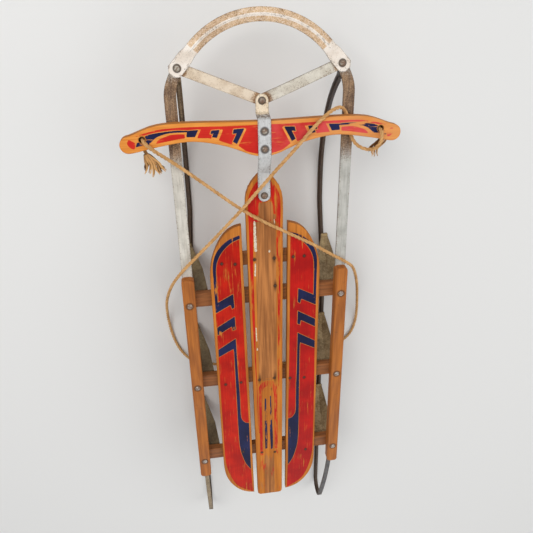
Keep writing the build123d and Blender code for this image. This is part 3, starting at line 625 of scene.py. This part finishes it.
# Paint of the centre slat: the red arch in front, its two strips, and the panel behind
CENTRE_ARCH = flow(
    (29.8, 262), (30, 285), (29.4, 300), (26.2, 313), (19.2, 326), (11, 335.5), (0, 342), parts=5
) + [(0, 258), (29.8, 258)]
CENTRE_STRIPS = (
    ((-29.6, 264), (-29.8, 150), (-28.8, 55), (-27.2, -20), (-25, -130), (-23.2, -260), (-21.6, -260))
    + ((-23.2, -130), (-24.4, -20), (-23.6, 55), (-23.7, 147), (-22.4, 212), (-21.5, 264)),
    ((29.6, 264), (28.7, 154), (28.6, 49), (26.4, -60), (24.4, -130), (22.6, -130))
    + ((23.4, 49), (21.7, 154), (21.5, 264)),
)
CENTRE_PANEL = flow(
    (-20, -128), (-15, -118), (-8, -113.5), (0, -112), (8, -113.5), (15, -119), (20, -129)
) + [(20.6, -330), (-21, -330)]
CENTRE_PANEL_BARE = flow(
    (-14.4, -150), (-11.5, -136), (-6, -128), (0, -126), (6, -128), (10.5, -136), (13.2, -150)
) + [(13, -330), (-14, -330)]
CENTRE_REAR = ((-20, -334), (20, -334), (24, -452), (-24, -452))
CENTRE_LINES = (
    ((-8.9, -200), (-7.6, -160), (-4.6, -160), (-3.6, -230), (-3.4, -277))
    + ((-4.2, -309), (-9, -312), (-9.4, -277)),
    ((-7.6, -333), (-5.8, -331), (-5.4, -356), (-6.8, -356)),
    ((2.4, -262), (4.4, -150), (6.4, -156), (8.0, -235), (9.2, -268), (9.1, -300), (7.0, -336), (4.0, -320)),
)

# Patches of primer on the centre slat: lines with their strength and width, and ovals
PRIMER_LINES = (
    (0.9, ((-18.6, 258), (-18.8, 232), (-17.6, 200)), 10.5),
    (0.8, ((-19.4, 172), (-20.6, 146)), 5.6),
    (0.8, ((-21.7, 26), (-21.2, -6)), 5.4),
    (0.75, ((17.6, 262), (18.6, 250)), 3.6),
    (0.7, ((22.6, 211), (22.4, 184)), 3.4),
)
PRIMER_OVALS = ((0.8, (-20.7, -27), (3.4, 9)), (0.9, (8.3, 197), (4.2, 6)))

# Dirt on the centre slat: stains round the nails and in cracks, and a dark line of grain
CENTRE_DIRT = (
    (0.95, (17.2, 180), (4.4, 15)),
    (1.0, (18.4, 121), (5.4, 19)),
    (0.95, (-21.3, 181.5), (4.6, 8)),
    (0.95, (-17.3, -105), (5, 24)),
    (0.95, (15.8, -103), (5.4, 27)),
    (0.2, (2, 280), (16, 40)),
    (0.8, (7.4, -135), (2.6, 8)),
)
DARK_GRAIN = ((0, 290), (0.3, 268), (0.7, 211), (3, 167), (8.2, 110), (14, 63))

# Edge of the centre slat's front, which is rounder than its solid
FRONT_START = 268.0
FRONT_EDGE = flow((34.5, 268), (34.6, 285), (34.3, 300), (32.3, 314), (28.6, 324.5), (24.2, 332.3)) + flow(
    (24.2, 332.3), (18.4, 340), (12.4, 345.8), (6, 350), (0, 351.6)
)
FRONT_SECTORS = 45

# Paint of the crossbar
BAR_BARS = (
    ((33, 433), (51, 432.3), (53, 424.5), (46, 425.5), (53, 412), (46.5, 407.5)),
    ((73.5, 432.5), (87.5, 432), (90, 426), (84, 427), (87.5, 421), (79, 419.5)),
    ((108.5, 434), (127.5, 433.3), (127, 431.3), (129, 423), (114.7, 422.5)),
    flow((125, 433.3), (141, 434.3), (153, 434), (165.4, 433), (176, 432), (191, 429.5))
    + flow((188.8, 415), (183.6, 419.5), (176.8, 424.8), (165.7, 428.6), (153.3, 430.8), (125.8, 431)),
    ((191, 429.5), (200, 424), (209, 417), (211.4, 410.7), (199.5, 413), (188.9, 414.2)),
)
BAR_ORANGE = (
    ((33, 433), (29.5, 432.1), (44.5, 403.6), (55, 408), (53, 412), (46.5, 407.5)),
    ((73.5, 432.5), (68, 433), (76.5, 414.8), (88.5, 419.5), (87.5, 421), (79, 419.5)),
    ((108.5, 434), (104, 435), (111.5, 420.5), (130, 423.5), (129, 423), (114.7, 422.5)),
)
BAR_RED = (
    flow((0, 437.5), (63, 437.8), (110, 438.9), (141, 438.8), (166, 437.7), (187.5, 434.2), (212, 427.7))
    + flow((196, 429.2), (188, 430.8), (176, 433), (153, 435.2), (130, 434.6))
    + [(110.5, 420.5)]
    + flow((92, 419.5), (76, 414.8), (58, 408), (44, 404), (30, 394.5), (12, 389.5), (0, 388.5)),
    flow((131.2, 427.8), (145, 428.4), (157, 426.9), (172.8, 421.2), (179.6, 414.5))
    + flow((168, 416.2), (157.7, 417.8), (145, 419.8), (131, 421.4)),
    flow((221, 423.6), (211.4, 416.9), (214, 407.7), (221.2, 411.2), (224.2, 417.6), (221, 423.6)),
)
BAR_WEAR = (0.3, (120, 415), (14, 8))
BAR_WEAR_RIGHT = (0.7, (160, 431.5), (26, 6))
ROPE_HOLE = (200, 422)

# Colours of the painted boards
SIDE_REDS = {"left": ((200, 34, 10), (160, 18, 8)), "right": ((194, 26, 16), (156, 16, 14))}
SIDE_VARNISH = ((206, 128, 52), (166, 96, 36))
CENTRE_RED = ((204, 36, 20), (170, 22, 18))
CENTRE_VARNISH = ((208, 128, 48), (168, 96, 34))
CENTRE_RUBBED = ((198, 129, 71), (138, 85, 45))
CROSSBAR_RED = ((212, 50, 36), (188, 34, 26))
CROSSBAR_VARNISH = ((238, 160, 74), (206, 124, 48))
NAVY = ((30, 36, 78), (20, 22, 52))
PRIMER = ((224, 216, 196), (190, 176, 150))
FADED_RED = (210, 84, 84)
FADED_VARNISH = (214, 148, 98)
NAIL_DIRT = (44, 30, 20)
DIRT_AND_HOLE_SHADE = (60, 36, 22)
WORN_EDGE_AND_SIDE_SHADE = (112, 68, 32)
WOOD_GRIME = (82, 52, 28)

# How much rubbing the paint stands before the wood shows
SLAT_PAINT_HOLDS = 0.66
CROSSBAR_PAINT_HOLDS = 0.68


def wood_colour(look, axis, varnish):
    """Colour of varnished wood that runs along the axis, its fibres, and its slow patches."""
    pale, dark = varnish
    field = look.noise(13, stretch(axis, 0.07), detail=1.5, distortion=0.25)
    rings = look.step(look.math("SINE", look.times(field, 150.0)), -1.0, 1.0)
    fibres = look.noise(700, stretch(axis, 0.02), roughness=0.6)
    streaks = look.noise(230, stretch(axis, 0.035), detail=2.5)
    patches = look.noise(34, stretch(axis, 0.3))
    tone = look.total((rings, 0.07), (fibres, 0.36), (streaks, 0.4), (patches, 0.34))
    return look.mix(look.step(tone, 0.42, 0.78), dark, pale), fibres, patches


def wooden(name, axis, varnish, bolts=()):
    """A varnished bar with knocked, darker edges, and dirt round its bolts."""
    look = Look(name)
    tint, fibres, patches = wood_colour(look, axis, varnish)
    knocks = look.noise(90, detail=4)
    knocked = look.times(look.edge(0.002), look.step(knocks, 0.42, 0.66))
    dirt = look.step(knocks, 0.62, 0.75)
    stain = look.most(look.times(knocked, 0.7), look.times(dirt, 0.4))
    if bolts:
        stain = look.most(stain, look.times(look.near(bolts, 0.007, 0.003), 0.75))
    tint = look.mix(stain, tint, WOOD_GRIME)
    roughness = look.step(patches, 0.3, 0.7, 0.42, 0.6)
    return look.done(fibres, 0.35, 0.0006, tint, roughness, 0.22)


def painted_wood(name, axis, red, varnish, holds, nails=(), rubbed=None, faded=0.0):
    """A board in bare varnish with red fields, navy bars and wear along the grain."""
    look = Look(name)
    tint, fibres, patches = wood_colour(look, axis, varnish)
    ragged = look.minus(look.noise(700))
    red_place = look.total((look.attribute("red"), 1), (ragged, 1.1))
    navy_place = look.total((look.attribute("navy"), 1), (ragged, 1.1))
    flakes = look.noise(150, stretch(axis, 0.16), detail=4, roughness=0.62)
    if rubbed:
        brown = wood_colour(look, axis, rubbed)[0]
        bare = look.total((look.attribute("bare"), 1), (flakes, 0.9))
        tint = look.mix(look.step(bare, 0.85, 1.0), tint, brown)

    # Where the paint is still there, and where it is thin
    rub = look.total((flakes, 0.7), (fibres, 0.35), (look.attribute("wear"), 0.42))
    kept = look.step(rub, holds, holds + 0.05, 1.0, 0.0)
    thin = look.step(rub, holds - 0.06, holds, 0.0, 0.35)
    beside_navy = look.step(navy_place, -1.15, -0.8, 1.0, 0.0)
    red_share = look.times(look.step(red_place, -0.25, 0.25), look.times(beside_navy, kept))
    navy_share = look.times(look.step(navy_place, -0.25, 0.25), kept)

    # Its colours, which are faded on the right side of the crossbar
    blotches = look.noise(22)
    shade = look.step(look.total((blotches, 0.8), (fibres, 0.35)), 0.4, 0.8)
    red_tint = look.mix(thin, look.mix(shade, red[1], red[0]), tint)
    navy_tint = look.mix(shade, NAVY[1], NAVY[0])
    if faded:
        right = look.step(look.axis("X"), -0.02, 0.02, 0.0, faded)
        share = look.times(right, look.step(blotches, 0.2, 0.7))
        red_tint = look.mix(share, red_tint, FADED_RED)
        tint = look.mix(look.times(share, 0.7), tint, FADED_VARNISH)
    surface = look.mix(navy_share, look.mix(red_share, tint, red_tint), navy_tint)

    # Primer, dirt, knocked edges and a painted shade on upright sides
    if rubbed:
        chips = look.noise(420)
        chalk = look.total((look.attribute("primer"), 1), (flakes, 0.7), (chips, 0.4))
        chalk_tint = look.mix(look.step(chips, 0.35, 0.65), PRIMER[1], PRIMER[0])
        surface = look.mix(look.step(chalk, 1.01, 1.09), surface, chalk_tint)
    if nails:
        ring = look.near(nails, 0.0018, 0.0036)
        surface = look.mix(look.times(ring, 0.8), surface, NAIL_DIRT)
    # Dirt and stains, and on the crossbar a painted shade in and round the rope holes
    dirt = look.step(look.attribute("dark"), 0.05, 0.9, 0.0, 0.85)
    surface = look.mix(dirt, surface, DIRT_AND_HOLE_SHADE)
    knocked = look.times(look.edge(0.0016), look.step(flakes, 0.3, 0.55))
    # Upright sides get a painted shade
    knocked = look.most(knocked, look.times(look.upright(), 0.75))
    surface = look.mix(look.times(knocked, 0.7), surface, WORN_EDGE_AND_SIDE_SHADE)
    paint = look.most(red_share, navy_share)
    relief = look.total((fibres, 0.7), (paint, 0.5))
    roughness = look.step(look.math("ADD", paint, patches), 0.2, 1.6, 0.64, 0.44)
    return look.done(relief, 0.4, 0.0005, surface, roughness, 0.12)


BOARD_STEP = 1.8 * MM
PAINT_DEPTH = 2.2


def painted_board(node, material, body, paint, shaped=None):
    """A board cut into a fine grid, which carries its paint as numbers at each point."""
    places, corners = gridded(node, (BOARD_STEP, BOARD_STEP, 0))
    if shaped:
        places = shaped(places)
    name = node.removeprefix("slat_")
    board = piece(f"board_{name}", places, corners, material, (node,))
    flat = places[:, :2] / MM
    depth = (places[:, 2] - places[:, 2].max()) / MM + PAINT_DEPTH
    for key, values in paint(flat).items():
        painted = key in ("red", "navy")
        store(board, key, np.minimum(values, depth) if painted else np.clip(values, 0, 1))
    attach(board, body)


def side_paint(side):
    """The paint of one outer slat, as a function of its points."""

    def paint(flat):
        points = mirrored(flat)
        stains = [(0.7, nail, NAIL_STAIN) for nail in SLAT_NAILS[side]]
        return {
            "red": inside(points, SIDE_RED),
            "navy": shapes(points, SIDE_BARS),
            "wear": blobs(points, SIDE_WEAR[side]),
            "dark": blobs(flat, stains),
        }

    return paint


def centre_paint(flat):
    """Worn paint of the centre slat: its middle is bare, and its right side is rubbed more."""
    x, y = flat[:, 0], flat[:, 1]
    front, behind, tail = y > 262, y < -108, y < -333
    panel = np.minimum(inside(flat, CENTRE_PANEL), -inside(flat, CENTRE_PANEL_BARE))
    arch = inside(mirrored(flat), CENTRE_ARCH)
    strips = shapes(flat, (*CENTRE_STRIPS, CENTRE_REAR))

    # The bare middle, which runs out in front under the strap
    bare = ramp(y, 300, 288) * ramp(x, -13, -9) * ramp(x, 17, 13)
    bare = front * np.maximum(bare, ramp(y, 274, 266) * ramp(x, -24, -18) * (x < 20))
    middle = ramp(np.abs(x - 1), 21, 18) * ramp(y, -112, -98) * ramp(y, 300, 290)
    middle = np.where(front, bare, middle)
    middle = middle + behind * (0.34 * (np.abs(x) < 12) + 0.3 * ramp(y, -318, -358))

    # Wear of the arch, the strips, the panel and the tail
    wear = np.where(front, np.where(x < 4, 0.0, 0.24), np.where(x < 0, 0.14, 0.33))
    panel_wear = np.where(x < -8, 0.1, 0.24) + 0.2 * (y < -312)
    panel_wear = panel_wear + 0.1 * (y > -150) + 0.12 * (y > -225) * (np.abs(x) < 10)
    wear = np.where(behind, panel_wear, wear) + 0.12 * blob(flat, (-16, 280), (14, 26))
    wear = np.where(tail, 0.5 + 0.06 * (x > -6), np.maximum(wear, bare))

    primer = sum(strength * line_near(flat, route, width) for strength, route, width in PRIMER_LINES)
    dark_grain = 0.34 * line_near(flat, DARK_GRAIN, 12) * ramp(y, 300, 270)
    return {
        "red": np.max([arch, strips, panel], axis=0),
        "navy": shapes(flat, CENTRE_LINES),
        "wear": wear,
        "primer": primer + blobs(flat, PRIMER_OVALS),
        "dark": blobs(flat, CENTRE_DIRT) + dark_grain,
        "bare": middle,
    }


def rounder_front(places):
    """Moves the centre slat's front out to its rounder edge, and leaves its hole round."""
    flat = places[:, :2] / MM
    moved = flat[:, 1] > FRONT_START
    offset = flat - (0, FRONT_START)
    turn = np.arctan2(offset[:, 1], np.abs(offset[:, 0]))
    reach = np.hypot(offset[:, 0], offset[:, 1])
    hull = np.array(FRONT_EDGE) - (0, FRONT_START)
    wanted = np.interp(turn, np.arctan2(hull[:, 1], hull[:, 0]), np.hypot(hull[:, 0], hull[:, 1]))
    sectors = np.linspace(0, math.pi / 2, FRONT_SECTORS + 1)
    number = np.clip(np.digitize(turn, sectors) - 1, 0, FRONT_SECTORS - 1)
    solid = np.array([reach[moved & (number == n)].max() for n in range(FRONT_SECTORS)])
    edge = np.interp(turn, (sectors[:-1] + sectors[1:]) / 2, solid)
    share = np.clip(reach / edge, 0, 1) ** 3
    grown = 1 + (wanted / edge - 1) * share
    result = places.copy()
    result[moved, 0] = (offset[moved, 0] * grown[moved]) * MM
    result[moved, 1] = (offset[moved, 1] * grown[moved] + FRONT_START) * MM
    return result


def crossbar_paint(flat):
    """The paint of the crossbar, worn more on its right, with a bare ring round each rope hole and a painted
    shade in and round it.
    """
    points = mirrored(flat)
    x = points[:, 0]
    red = np.minimum(shapes(points, BAR_RED), -shapes(points, BAR_ORANGE))
    hole = np.hypot(*(points - ROPE_HOLE).T)
    right = flat[:, 0] > 0
    wear = np.where(right, 0.12, 0.0) + np.where(right, 0.22, 0.1) * (x > 178)
    wear = wear + blobs(points, (BAR_WEAR,)) + right * blobs(points, (BAR_WEAR_RIGHT,))
    return {
        "red": np.minimum(red, hole - 7.5),
        "navy": np.minimum(shapes(points, BAR_BARS), hole - 6.5),
        "wear": wear,
        # dark is a painted shade in and round each rope hole
        "dark": ramp(hole, 7.2, 4.7),
    }


# Nails of the deck, as x and y in millimetres
SLAT_NAILS = {
    "left": ((-83.4, 177.7), (-58.1, 174.7), (-90.9, -110), (-57.8, -108.7), (-60.8, -311.7)),
    "centre": (
        (-20.5, 181.2), (17, 181.3), (18.3, 121), (-18, -107.2), (14.1, -106), (-17.2, -320.5), (13.3, -323.9)
    ),
    "right": ((53.7, 181.2), (75.4, 181.2), (48.7, -110.5), (79.9, -112.9), (86.5, -327.2)),
}
NAIL_RADIUS = 1.8 * MM
NAIL_PROUD = 0.35 * MM
NAIL_SIDES = 14
NAIL_PROFILE = ((1.0, -0.8), (1.0, 0.35), (0.82, 0.8), (0.45, 1.0))


def nail_places(slat):
    """The nails of one slat, at the level of its top."""
    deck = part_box(f"slat_{slat}")[1].z
    return [(x * MM, y * MM, deck) for x, y in SLAT_NAILS[slat]]


def nail_heads(slat, material):
    """Slightly domed heads, all nails of one slat in one mesh."""
    skin = Skin()
    rings = len(NAIL_PROFILE)
    right = np.tile((1.0, 0.0, 0.0), (rings, 1))
    ahead = np.tile((0.0, 1.0, 0.0), (rings, 1))
    radii = [NAIL_RADIUS * share for share, high in NAIL_PROFILE]
    for place in nail_places(slat):
        centres = [np.array(place) + (0, 0, NAIL_PROUD * high) for share, high in NAIL_PROFILE]
        skin.tube(centres, radii, NAIL_SIDES, right, ahead, np.zeros(rings))
    heads = piece(f"nails_{slat}", skin.places, skin.faces, material)
    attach(heads, "frame")


def make_boards():
    """The four painted boards and their nails."""
    nail = steel("nail_steel", (78, 66, 56), (44, 32, 24), rusty=0.5)
    for side, reds in SIDE_REDS.items():
        nails = nail_places(side)
        paint = painted_wood(f"slat_{side}_paint", 1, reds, SIDE_VARNISH, SLAT_PAINT_HOLDS, nails)
        painted_board(f"slat_{side}", paint, "frame", side_paint(side))
        nail_heads(side, nail)
    nails = nail_places("centre")
    colours = (CENTRE_RED, CENTRE_VARNISH)
    paint = painted_wood("slat_centre_paint", 1, *colours, SLAT_PAINT_HOLDS, nails, CENTRE_RUBBED)
    painted_board("slat_centre", paint, "frame", centre_paint, rounder_front)
    nail_heads("centre", nail)
    colours = (CROSSBAR_RED, CROSSBAR_VARNISH)
    paint = painted_wood("crossbar_paint", 0, *colours, CROSSBAR_PAINT_HOLDS, faded=0.75)
    painted_board("crossbar", paint, "steering", crossbar_paint)


# Colours of worn steel, and of painted shade on upright faces, round bolts and on the rims of bolt heads
RUST = (104, 66, 38)
HEAD_RIM_SHADE = (78, 68, 56)
BARE_EDGE_AND_SIDE_SHADE = (64, 46, 34)
BOLT_DIRT_AND_SHADE = (58, 44, 34)


def steel(name, bright, dull, rusty=0.3, tops=()):
    """Grey steel with rust in its low places; bolt heads get a painted shade on their rims, which leaves
    their tops brighter.
    """
    look = Look(name)
    spots = look.noise(420, detail=4, roughness=0.6)
    tone = look.total((spots, 0.7), (look.noise(60, detail=2), 0.4))
    tint = look.mix(look.step(tone, 0.4, 0.7), dull, bright)
    rust = look.step(tone, 0.72 - 0.3 * rusty, 0.5 - 0.3 * rusty, 0.0, 0.85)
    tint = look.mix(rust, tint, RUST)
    if tops:
        # A painted shade on the outer part of each head and on the washer, so the top looks lit
        rim = look.math("SUBTRACT", 1.0, look.near(tops, 0.0034, 0.0018))
        tint = look.mix(look.times(rim, 0.7), tint, HEAD_RIM_SHADE)
    roughness = look.step(spots, 0.3, 0.7, 0.42, 0.7)
    metallic = look.step(rust, 0.0, 0.8, 0.6, 0.1)
    return look.done(spots, 0.25, 0.0004, tint, roughness, 0.5, Metallic=metallic)


def enamel(name, paint, flecks, specked, stains=(), tan=None, dragged=False, sides=0.6, crease=None):
    """Old enamel on steel: specks, tan rubbed fields, dark chipped edges, a painted shade on upright faces,
    and dirt with a painted shade round bolts.

    More specks show where specked is lower. A tan is a pair of colours and the function that places it.
    """
    look = Look(name)
    specks = look.noise(560, detail=4, roughness=0.68)
    patches = look.noise(46, detail=5, roughness=0.6)
    spots = look.noise(240)
    cloud = patches
    grain = look.total((specks, 0.45), (patches, 0.55))
    if dragged:
        scrapes = look.noise(260, stretch(1, 0.08), roughness=0.6)
        cloud = look.total((patches, 0.5), (scrapes, 0.5))
        grain = look.total((scrapes, 0.3), (specks, 0.4), (patches, 0.3))
    tint = look.mix(look.step(cloud, 0.36, 0.66), *paint)
    if tan:
        pale, dark, placed = tan
        field = look.total((placed(look), 1), (specks, 0.7))
        mottled = look.mix(look.step(grain, 0.38, 0.6), pale, dark)
        tint = look.mix(look.step(field, 0.6, 0.95), tint, mottled)
    mottle = look.total((specks, 0.7), (patches, 0.3))
    tint = look.mix(look.step(mottle, specked, specked + 0.05, 0.0, 0.85), tint, flecks)
    # Chipped edges, and a painted shade on upright faces as strong as sides asks
    worn = look.times(look.edge(0.0030), look.step(specks, 0.36, 0.5, 0.0, 0.9))
    tint = look.mix(look.most(worn, look.times(look.upright(), sides)), tint, BARE_EDGE_AND_SIDE_SHADE)
    rim = look.step(look.edge(0.008), 0.02, 0.25, 0.0, 0.85)
    tint = look.mix(look.times(rim, look.step(spots, 0.56, 0.6)), tint, flecks)
    if stains:
        # Dirt and a painted shade round each bolt head
        ring = look.near(stains, 0.0062, 0.0028)
        tint = look.mix(look.times(ring, 0.85), tint, BOLT_DIRT_AND_SHADE)
    if crease:
        gap = look.math("ABSOLUTE", look.minus(look.axis("Y"), crease))
        gap = look.total((gap, 1), (look.minus(spots), 0.012))
        tint = look.mix(look.step(gap, 0.0004, 0.002, 0.8, 0.0), tint, flecks)
    roughness = look.step(mottle, 0.4, 0.8, 0.45, 0.8)
    return look.done(mottle, 0.3, 0.0006, tint, roughness, 0.3)


def node_middle(node):
    """The middle of a node's box."""
    low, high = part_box(node)
    return (low + high) / 2


def dress(material, *names):
    """Gives nodes a material in place of their plain one."""
    for name in names:
        slots = nodes[name].material_slots
        if not slots:
            nodes[name].data.materials.append(material)
        for slot in slots:
            slot.material = material


# The bow and its end plates, with the corners that are cut off them
BOW_CENTRE_Y = 0.453
BOW_RADIUS = 0.1485
BOW_OUT = Vector((math.cos(math.radians(47)), -math.sin(math.radians(47)), 0))
BOW_ACROSS = Vector((-BOW_OUT.y, BOW_OUT.x, 0))
PLATE_END = 0.014
PLATE_HALF = 0.0125
PLATE_CUT = 0.007
WHITE_REACH = 0.037
BEND_STEP = 0.012
STRAP_CREAM = 0.449


def bow_rub(look):
    """Rubbed tan on the two flats of the bow, not on its ridge or its end plates."""
    radius = look.vector("DISTANCE", look.stretched((1, 1, 0)), (0, BOW_CENTRE_Y, 0))
    away = look.math("ABSOLUTE", look.minus(radius, BOW_RADIUS))
    half = look.vector("ABSOLUTE", look.place, out="Vector")
    out = look.vector("DOT_PRODUCT", half, BOW_OUT)
    start = node_middle("bow_bolt_right").dot(BOW_OUT) - WHITE_REACH
    ends = look.step(out, start - 0.002, start + 0.002, 0.0, -1.0)
    return look.math("ADD", look.step(away, 0.0010, 0.0028, -0.2, 0.5), ends)


def brace_rub(look):
    """Rubbed brown from behind the crossbar to the front, with more paint left at the bow."""
    brown = look.step(look.axis("Y"), 0.31, 0.41, -0.05, 0.62)
    return look.math("SUBTRACT", brown, look.step(look.axis("Y"), 0.495, 0.535, 0.0, 0.36))


def bar_rub(look):
    """Rubbed brown and dirt at both ends of the bars that carry the bow."""
    ends = [tuple(node_middle(name)) for name in ("bow_bolt_left", "bow_bolt_right", "bow_pivot_bolt")]
    return look.total((look.near(ends, 0.009, 0.024), 0.9), (look.noise(90), -0.5))


def strap_rub(look):
    """Cream paint on the strap's front, where the bars are bolted to it."""
    return look.step(look.axis("Y"), STRAP_CREAM - 0.004, STRAP_CREAM + 0.004, -0.4, 0.6)


def runner_fade(look):
    """Old paint on the rising front of a runner, and bare steel lower down."""
    return look.step(look.axis("Z"), 0.03, 0.11, 0.6, 0.0)


def bolt_tops(names, level_of=None):
    """The middle of each bolt, at its own top or at the top of the node under its head."""
    return [(*node_middle(name).xy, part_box(level_of or name)[1].z) for name in names]


def cut_bow(material):
    """The bow with the corners cut off its end plates."""
    places, corners = gridded("bow", (0.005, 0.005, 0))
    bow = piece("bow_cut", places, corners, material, ("bow",))
    shape = bmesh.new()
    shape.from_mesh(bow.data)
    bolt = node_middle("bow_bolt_right")
    for side in (-1, 1):
        for way in (-1, 1):
            lean = (BOW_OUT + BOW_ACROSS * way).normalized()
            corner = bolt + BOW_OUT * PLATE_END + BOW_ACROSS * way * PLATE_HALF
            spot = corner - BOW_OUT * PLATE_CUT
            corner, spot, lean = (Vector((side * v.x, v.y, v.z)) for v in (corner, spot, lean))
            faces = [f for f in shape.faces if (f.calc_center_median() - corner).xy.length < 2 * PLATE_CUT]
            edges = {edge for face in faces for edge in face.edges}
            points = {point for face in faces for point in face.verts}
            bmesh.ops.bisect_plane(
                shape, geom=[*points, *edges, *faces], plane_co=spot, plane_no=lean, clear_outer=True
            )
    bmesh.ops.holes_fill(shape, edges=[edge for edge in shape.edges if edge.is_boundary], sides=0)
    shape.to_mesh(bow.data)
    shape.free()
    bow.data.shade_smooth()
    bow.data.set_sharp_from_angle(angle=SHARP_ANGLE)
    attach(bow, "bow_gear")


# Paint of the steel on each side, with a painted shade making the left knees darker, and for the bars also
# their flecks and how specked they are
BARS = {
    "left": (((224, 208, 186), (202, 182, 156)), (150, 120, 94), 0.56),
    "right": (((216, 210, 196), (198, 190, 174)), (120, 98, 78), 0.57),
}
# The left knees' darker pair is a painted shade of the right knees' paint
KNEES = {"left": ((142, 124, 88), (104, 86, 54)), "right": ((192, 168, 124), (132, 108, 70))}
BRACES = {"left": ((214, 208, 196), (184, 178, 166)), "right": ((192, 190, 182), (162, 160, 152))}
RUNNERS = {"left": ((158, 138, 108), (124, 106, 80)), "right": ((96, 94, 92), (70, 68, 68))}


def bend(node, material):
    """A brace or runner with cuts along its length."""
    places, corners = gridded(node, (0, BEND_STEP, 0))
    bent = piece(f"bent_{node}", places, corners, material, (node,))
    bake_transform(bent)


def make_gear():
    """The enamelled bow, its two bars and the strap."""
    bolts = bolt_tops(("bow_bolt_left", "bow_bolt_right"), "bow")
    tan = ((218, 181, 135), (180, 141, 98), bow_rub)
    paint = ((238, 228, 216), (220, 206, 190))
    cut_bow(enamel("bow_enamel", paint, (74, 54, 40), 0.585, bolts, tan, sides=0.85))
    tan = ((182, 142, 98), (112, 78, 50), bar_rub)
    for side, looks in BARS.items():
        dress(enamel(f"bar_{side}_enamel", *looks, tan=tan), f"ybar_{side}")
    bolts = bolt_tops(("deck_pivot_bolt", "bow_pivot_bolt", "rivet_front", "rivet_rear"), "steering_strap")
    cream = ((246, 232, 208), (222, 200, 168), strap_rub)
    paint = ((203, 203, 201), (176, 176, 174))
    strap = enamel("strap_enamel", paint, (100, 78, 60), 0.57, bolts, cream, True, 0.1, STRAP_CREAM)
    dress(strap, "steering_strap")


def make_heads():
    """The bolts and rivets: bare steel on the rails, and elsewhere with a painted shade on the rims of their
    heads.
    """
    heads = [name for name in nodes if "bolt" in name or name.startswith("rivet")]
    on_rails = [name for name in heads if name.startswith("rail")]
    others = [name for name in heads if name not in on_rails]
    ringed = steel("bolt_steel_ringed", (184, 180, 166), (156, 150, 136), 0.04, bolt_tops(others))
    dress(ringed, *others, "deck_washer")
    dress(steel("bolt_steel", (196, 194, 188), (166, 162, 152), rusty=0.1), *on_rails)


def make_legs():
    """The knees, and the braces and runners cut along their length."""
    for side in ("left", "right"):
        knee = enamel(f"knee_{side}_enamel", KNEES[side], (86, 64, 40), 0.6, dragged=True)
        dress(knee, *[name for name in nodes if name.startswith("knee_") and name.endswith(side)])
        tan = ((160, 128, 94), (84, 62, 48), brace_rub)
        brace = enamel(f"brace_{side}_enamel", BRACES[side], (120, 96, 72), 0.61, tan=tan, dragged=True)
        bend(f"brace_{side}", brace)
        tan = ((92, 76, 60), (62, 50, 42), runner_fade)
        runner = enamel(f"runner_{side}_steel", RUNNERS[side], (84, 60, 42), 0.6, tan=tan, dragged=True)
        bend(f"runner_{side}", runner)


def make_wood():
    """The side rails, the benches and the cleat."""
    bolts = bolt_tops([name for name in nodes if name.startswith("rail_bolt")], "side_rail_left")
    rail = wooden("rail_wood", 1, ((186, 112, 46), (142, 80, 32)), bolts)
    dress(rail, "side_rail_left", "side_rail_right")
    bench = wooden("bench_wood", 0, ((164, 102, 54), (116, 70, 36)))
    dress(bench, "bench_front", "bench_middle", "bench_rear", "front_cleat")


# Floor, which glows evenly in the camera's view from where it starts to fade, and the lamps above it
FLOOR_HALF = 8.0
FLOOR_LEVEL = -0.0004
FLOOR_TINT = (226, 225, 222)
FLOOR_FADES = (1.2, 4.0)
SKY_TINT = (244, 246, 250)
SKY_LIGHTS = 0.5
SKY_SHOWS = 0.8
LAMP_AIM = Vector((0, 0, 0.1))
LAMPS = (
    ("key", (-1.1, 1.6, 2.4), 1.6, 42.0),
    ("fill", (1.9, 0.3, 2.0), 2.2, 20.0),
    ("back", (0.2, -2.2, 1.9), 2.0, 14.0),
)


def make_floor():
    """A pale floor that keeps the shadow, and shows no dark band far away."""
    corners = [(x * FLOOR_HALF, y * FLOOR_HALF, FLOOR_LEVEL) for x, y in ((-1, -1), (1, -1), (1, 1), (-1, 1))]
    mesh = bpy.data.meshes.new("floor")
    mesh.from_pydata(corners, [], [(0, 1, 2, 3)])
    look = Look("floor")
    look.shade(colour(*FLOOR_TINT), 0.9, 0.1)
    far = look.step(look.vector("LENGTH", look.place), *FLOOR_FADES)
    share = look.times(far, look.add("ShaderNodeLightPath", out="Is Camera Ray"))
    glow = look.add("ShaderNodeEmission", {"Color": colour(*FLOOR_TINT)})
    blended = look.add("ShaderNodeMixShader", {0: share, 1: look.shader.outputs[0], 2: glow})
    look.fill(look.tree.nodes["Material Output"], {"Surface": blended})
    mesh.materials.append(look.material)
    in_scene("floor", mesh)


def make_lamps():
    """Soft lamps above the front, the right and the rear."""
    for name, place, size, power in LAMPS:
        data = bpy.data.lights.new(name, "AREA")
        data.size = size
        data.energy = power
        turn = (LAMP_AIM - Vector(place)).to_track_quat("-Z", "Y").to_matrix().to_4x4()
        in_scene(name, data).matrix_world = Matrix.Translation(place) @ turn


def make_room():
    """A room of soft light, which looks paler than it lights."""
    world = bpy.data.worlds.new("room")
    bpy.context.scene.world = world
    world.use_nodes = True
    room = Tree(world.node_tree)
    rays = ("Is Camera Ray", "Is Glossy Ray", "Is Transmission Ray")
    seen = room.most(*[room.add("ShaderNodeLightPath", out=ray) for ray in rays])
    strength = room.step(seen, 0.0, 1.0, SKY_LIGHTS, SKY_SHOWS)
    room.fill(room.tree.nodes["Background"], {"Color": colour(*SKY_TINT), "Strength": strength})
    bpy.context.scene.view_settings.view_transform = "Standard"


make_camera()
make_rope()
make_boards()
make_gear()
make_heads()
make_legs()
make_wood()
make_floor()
make_lamps()
make_room()
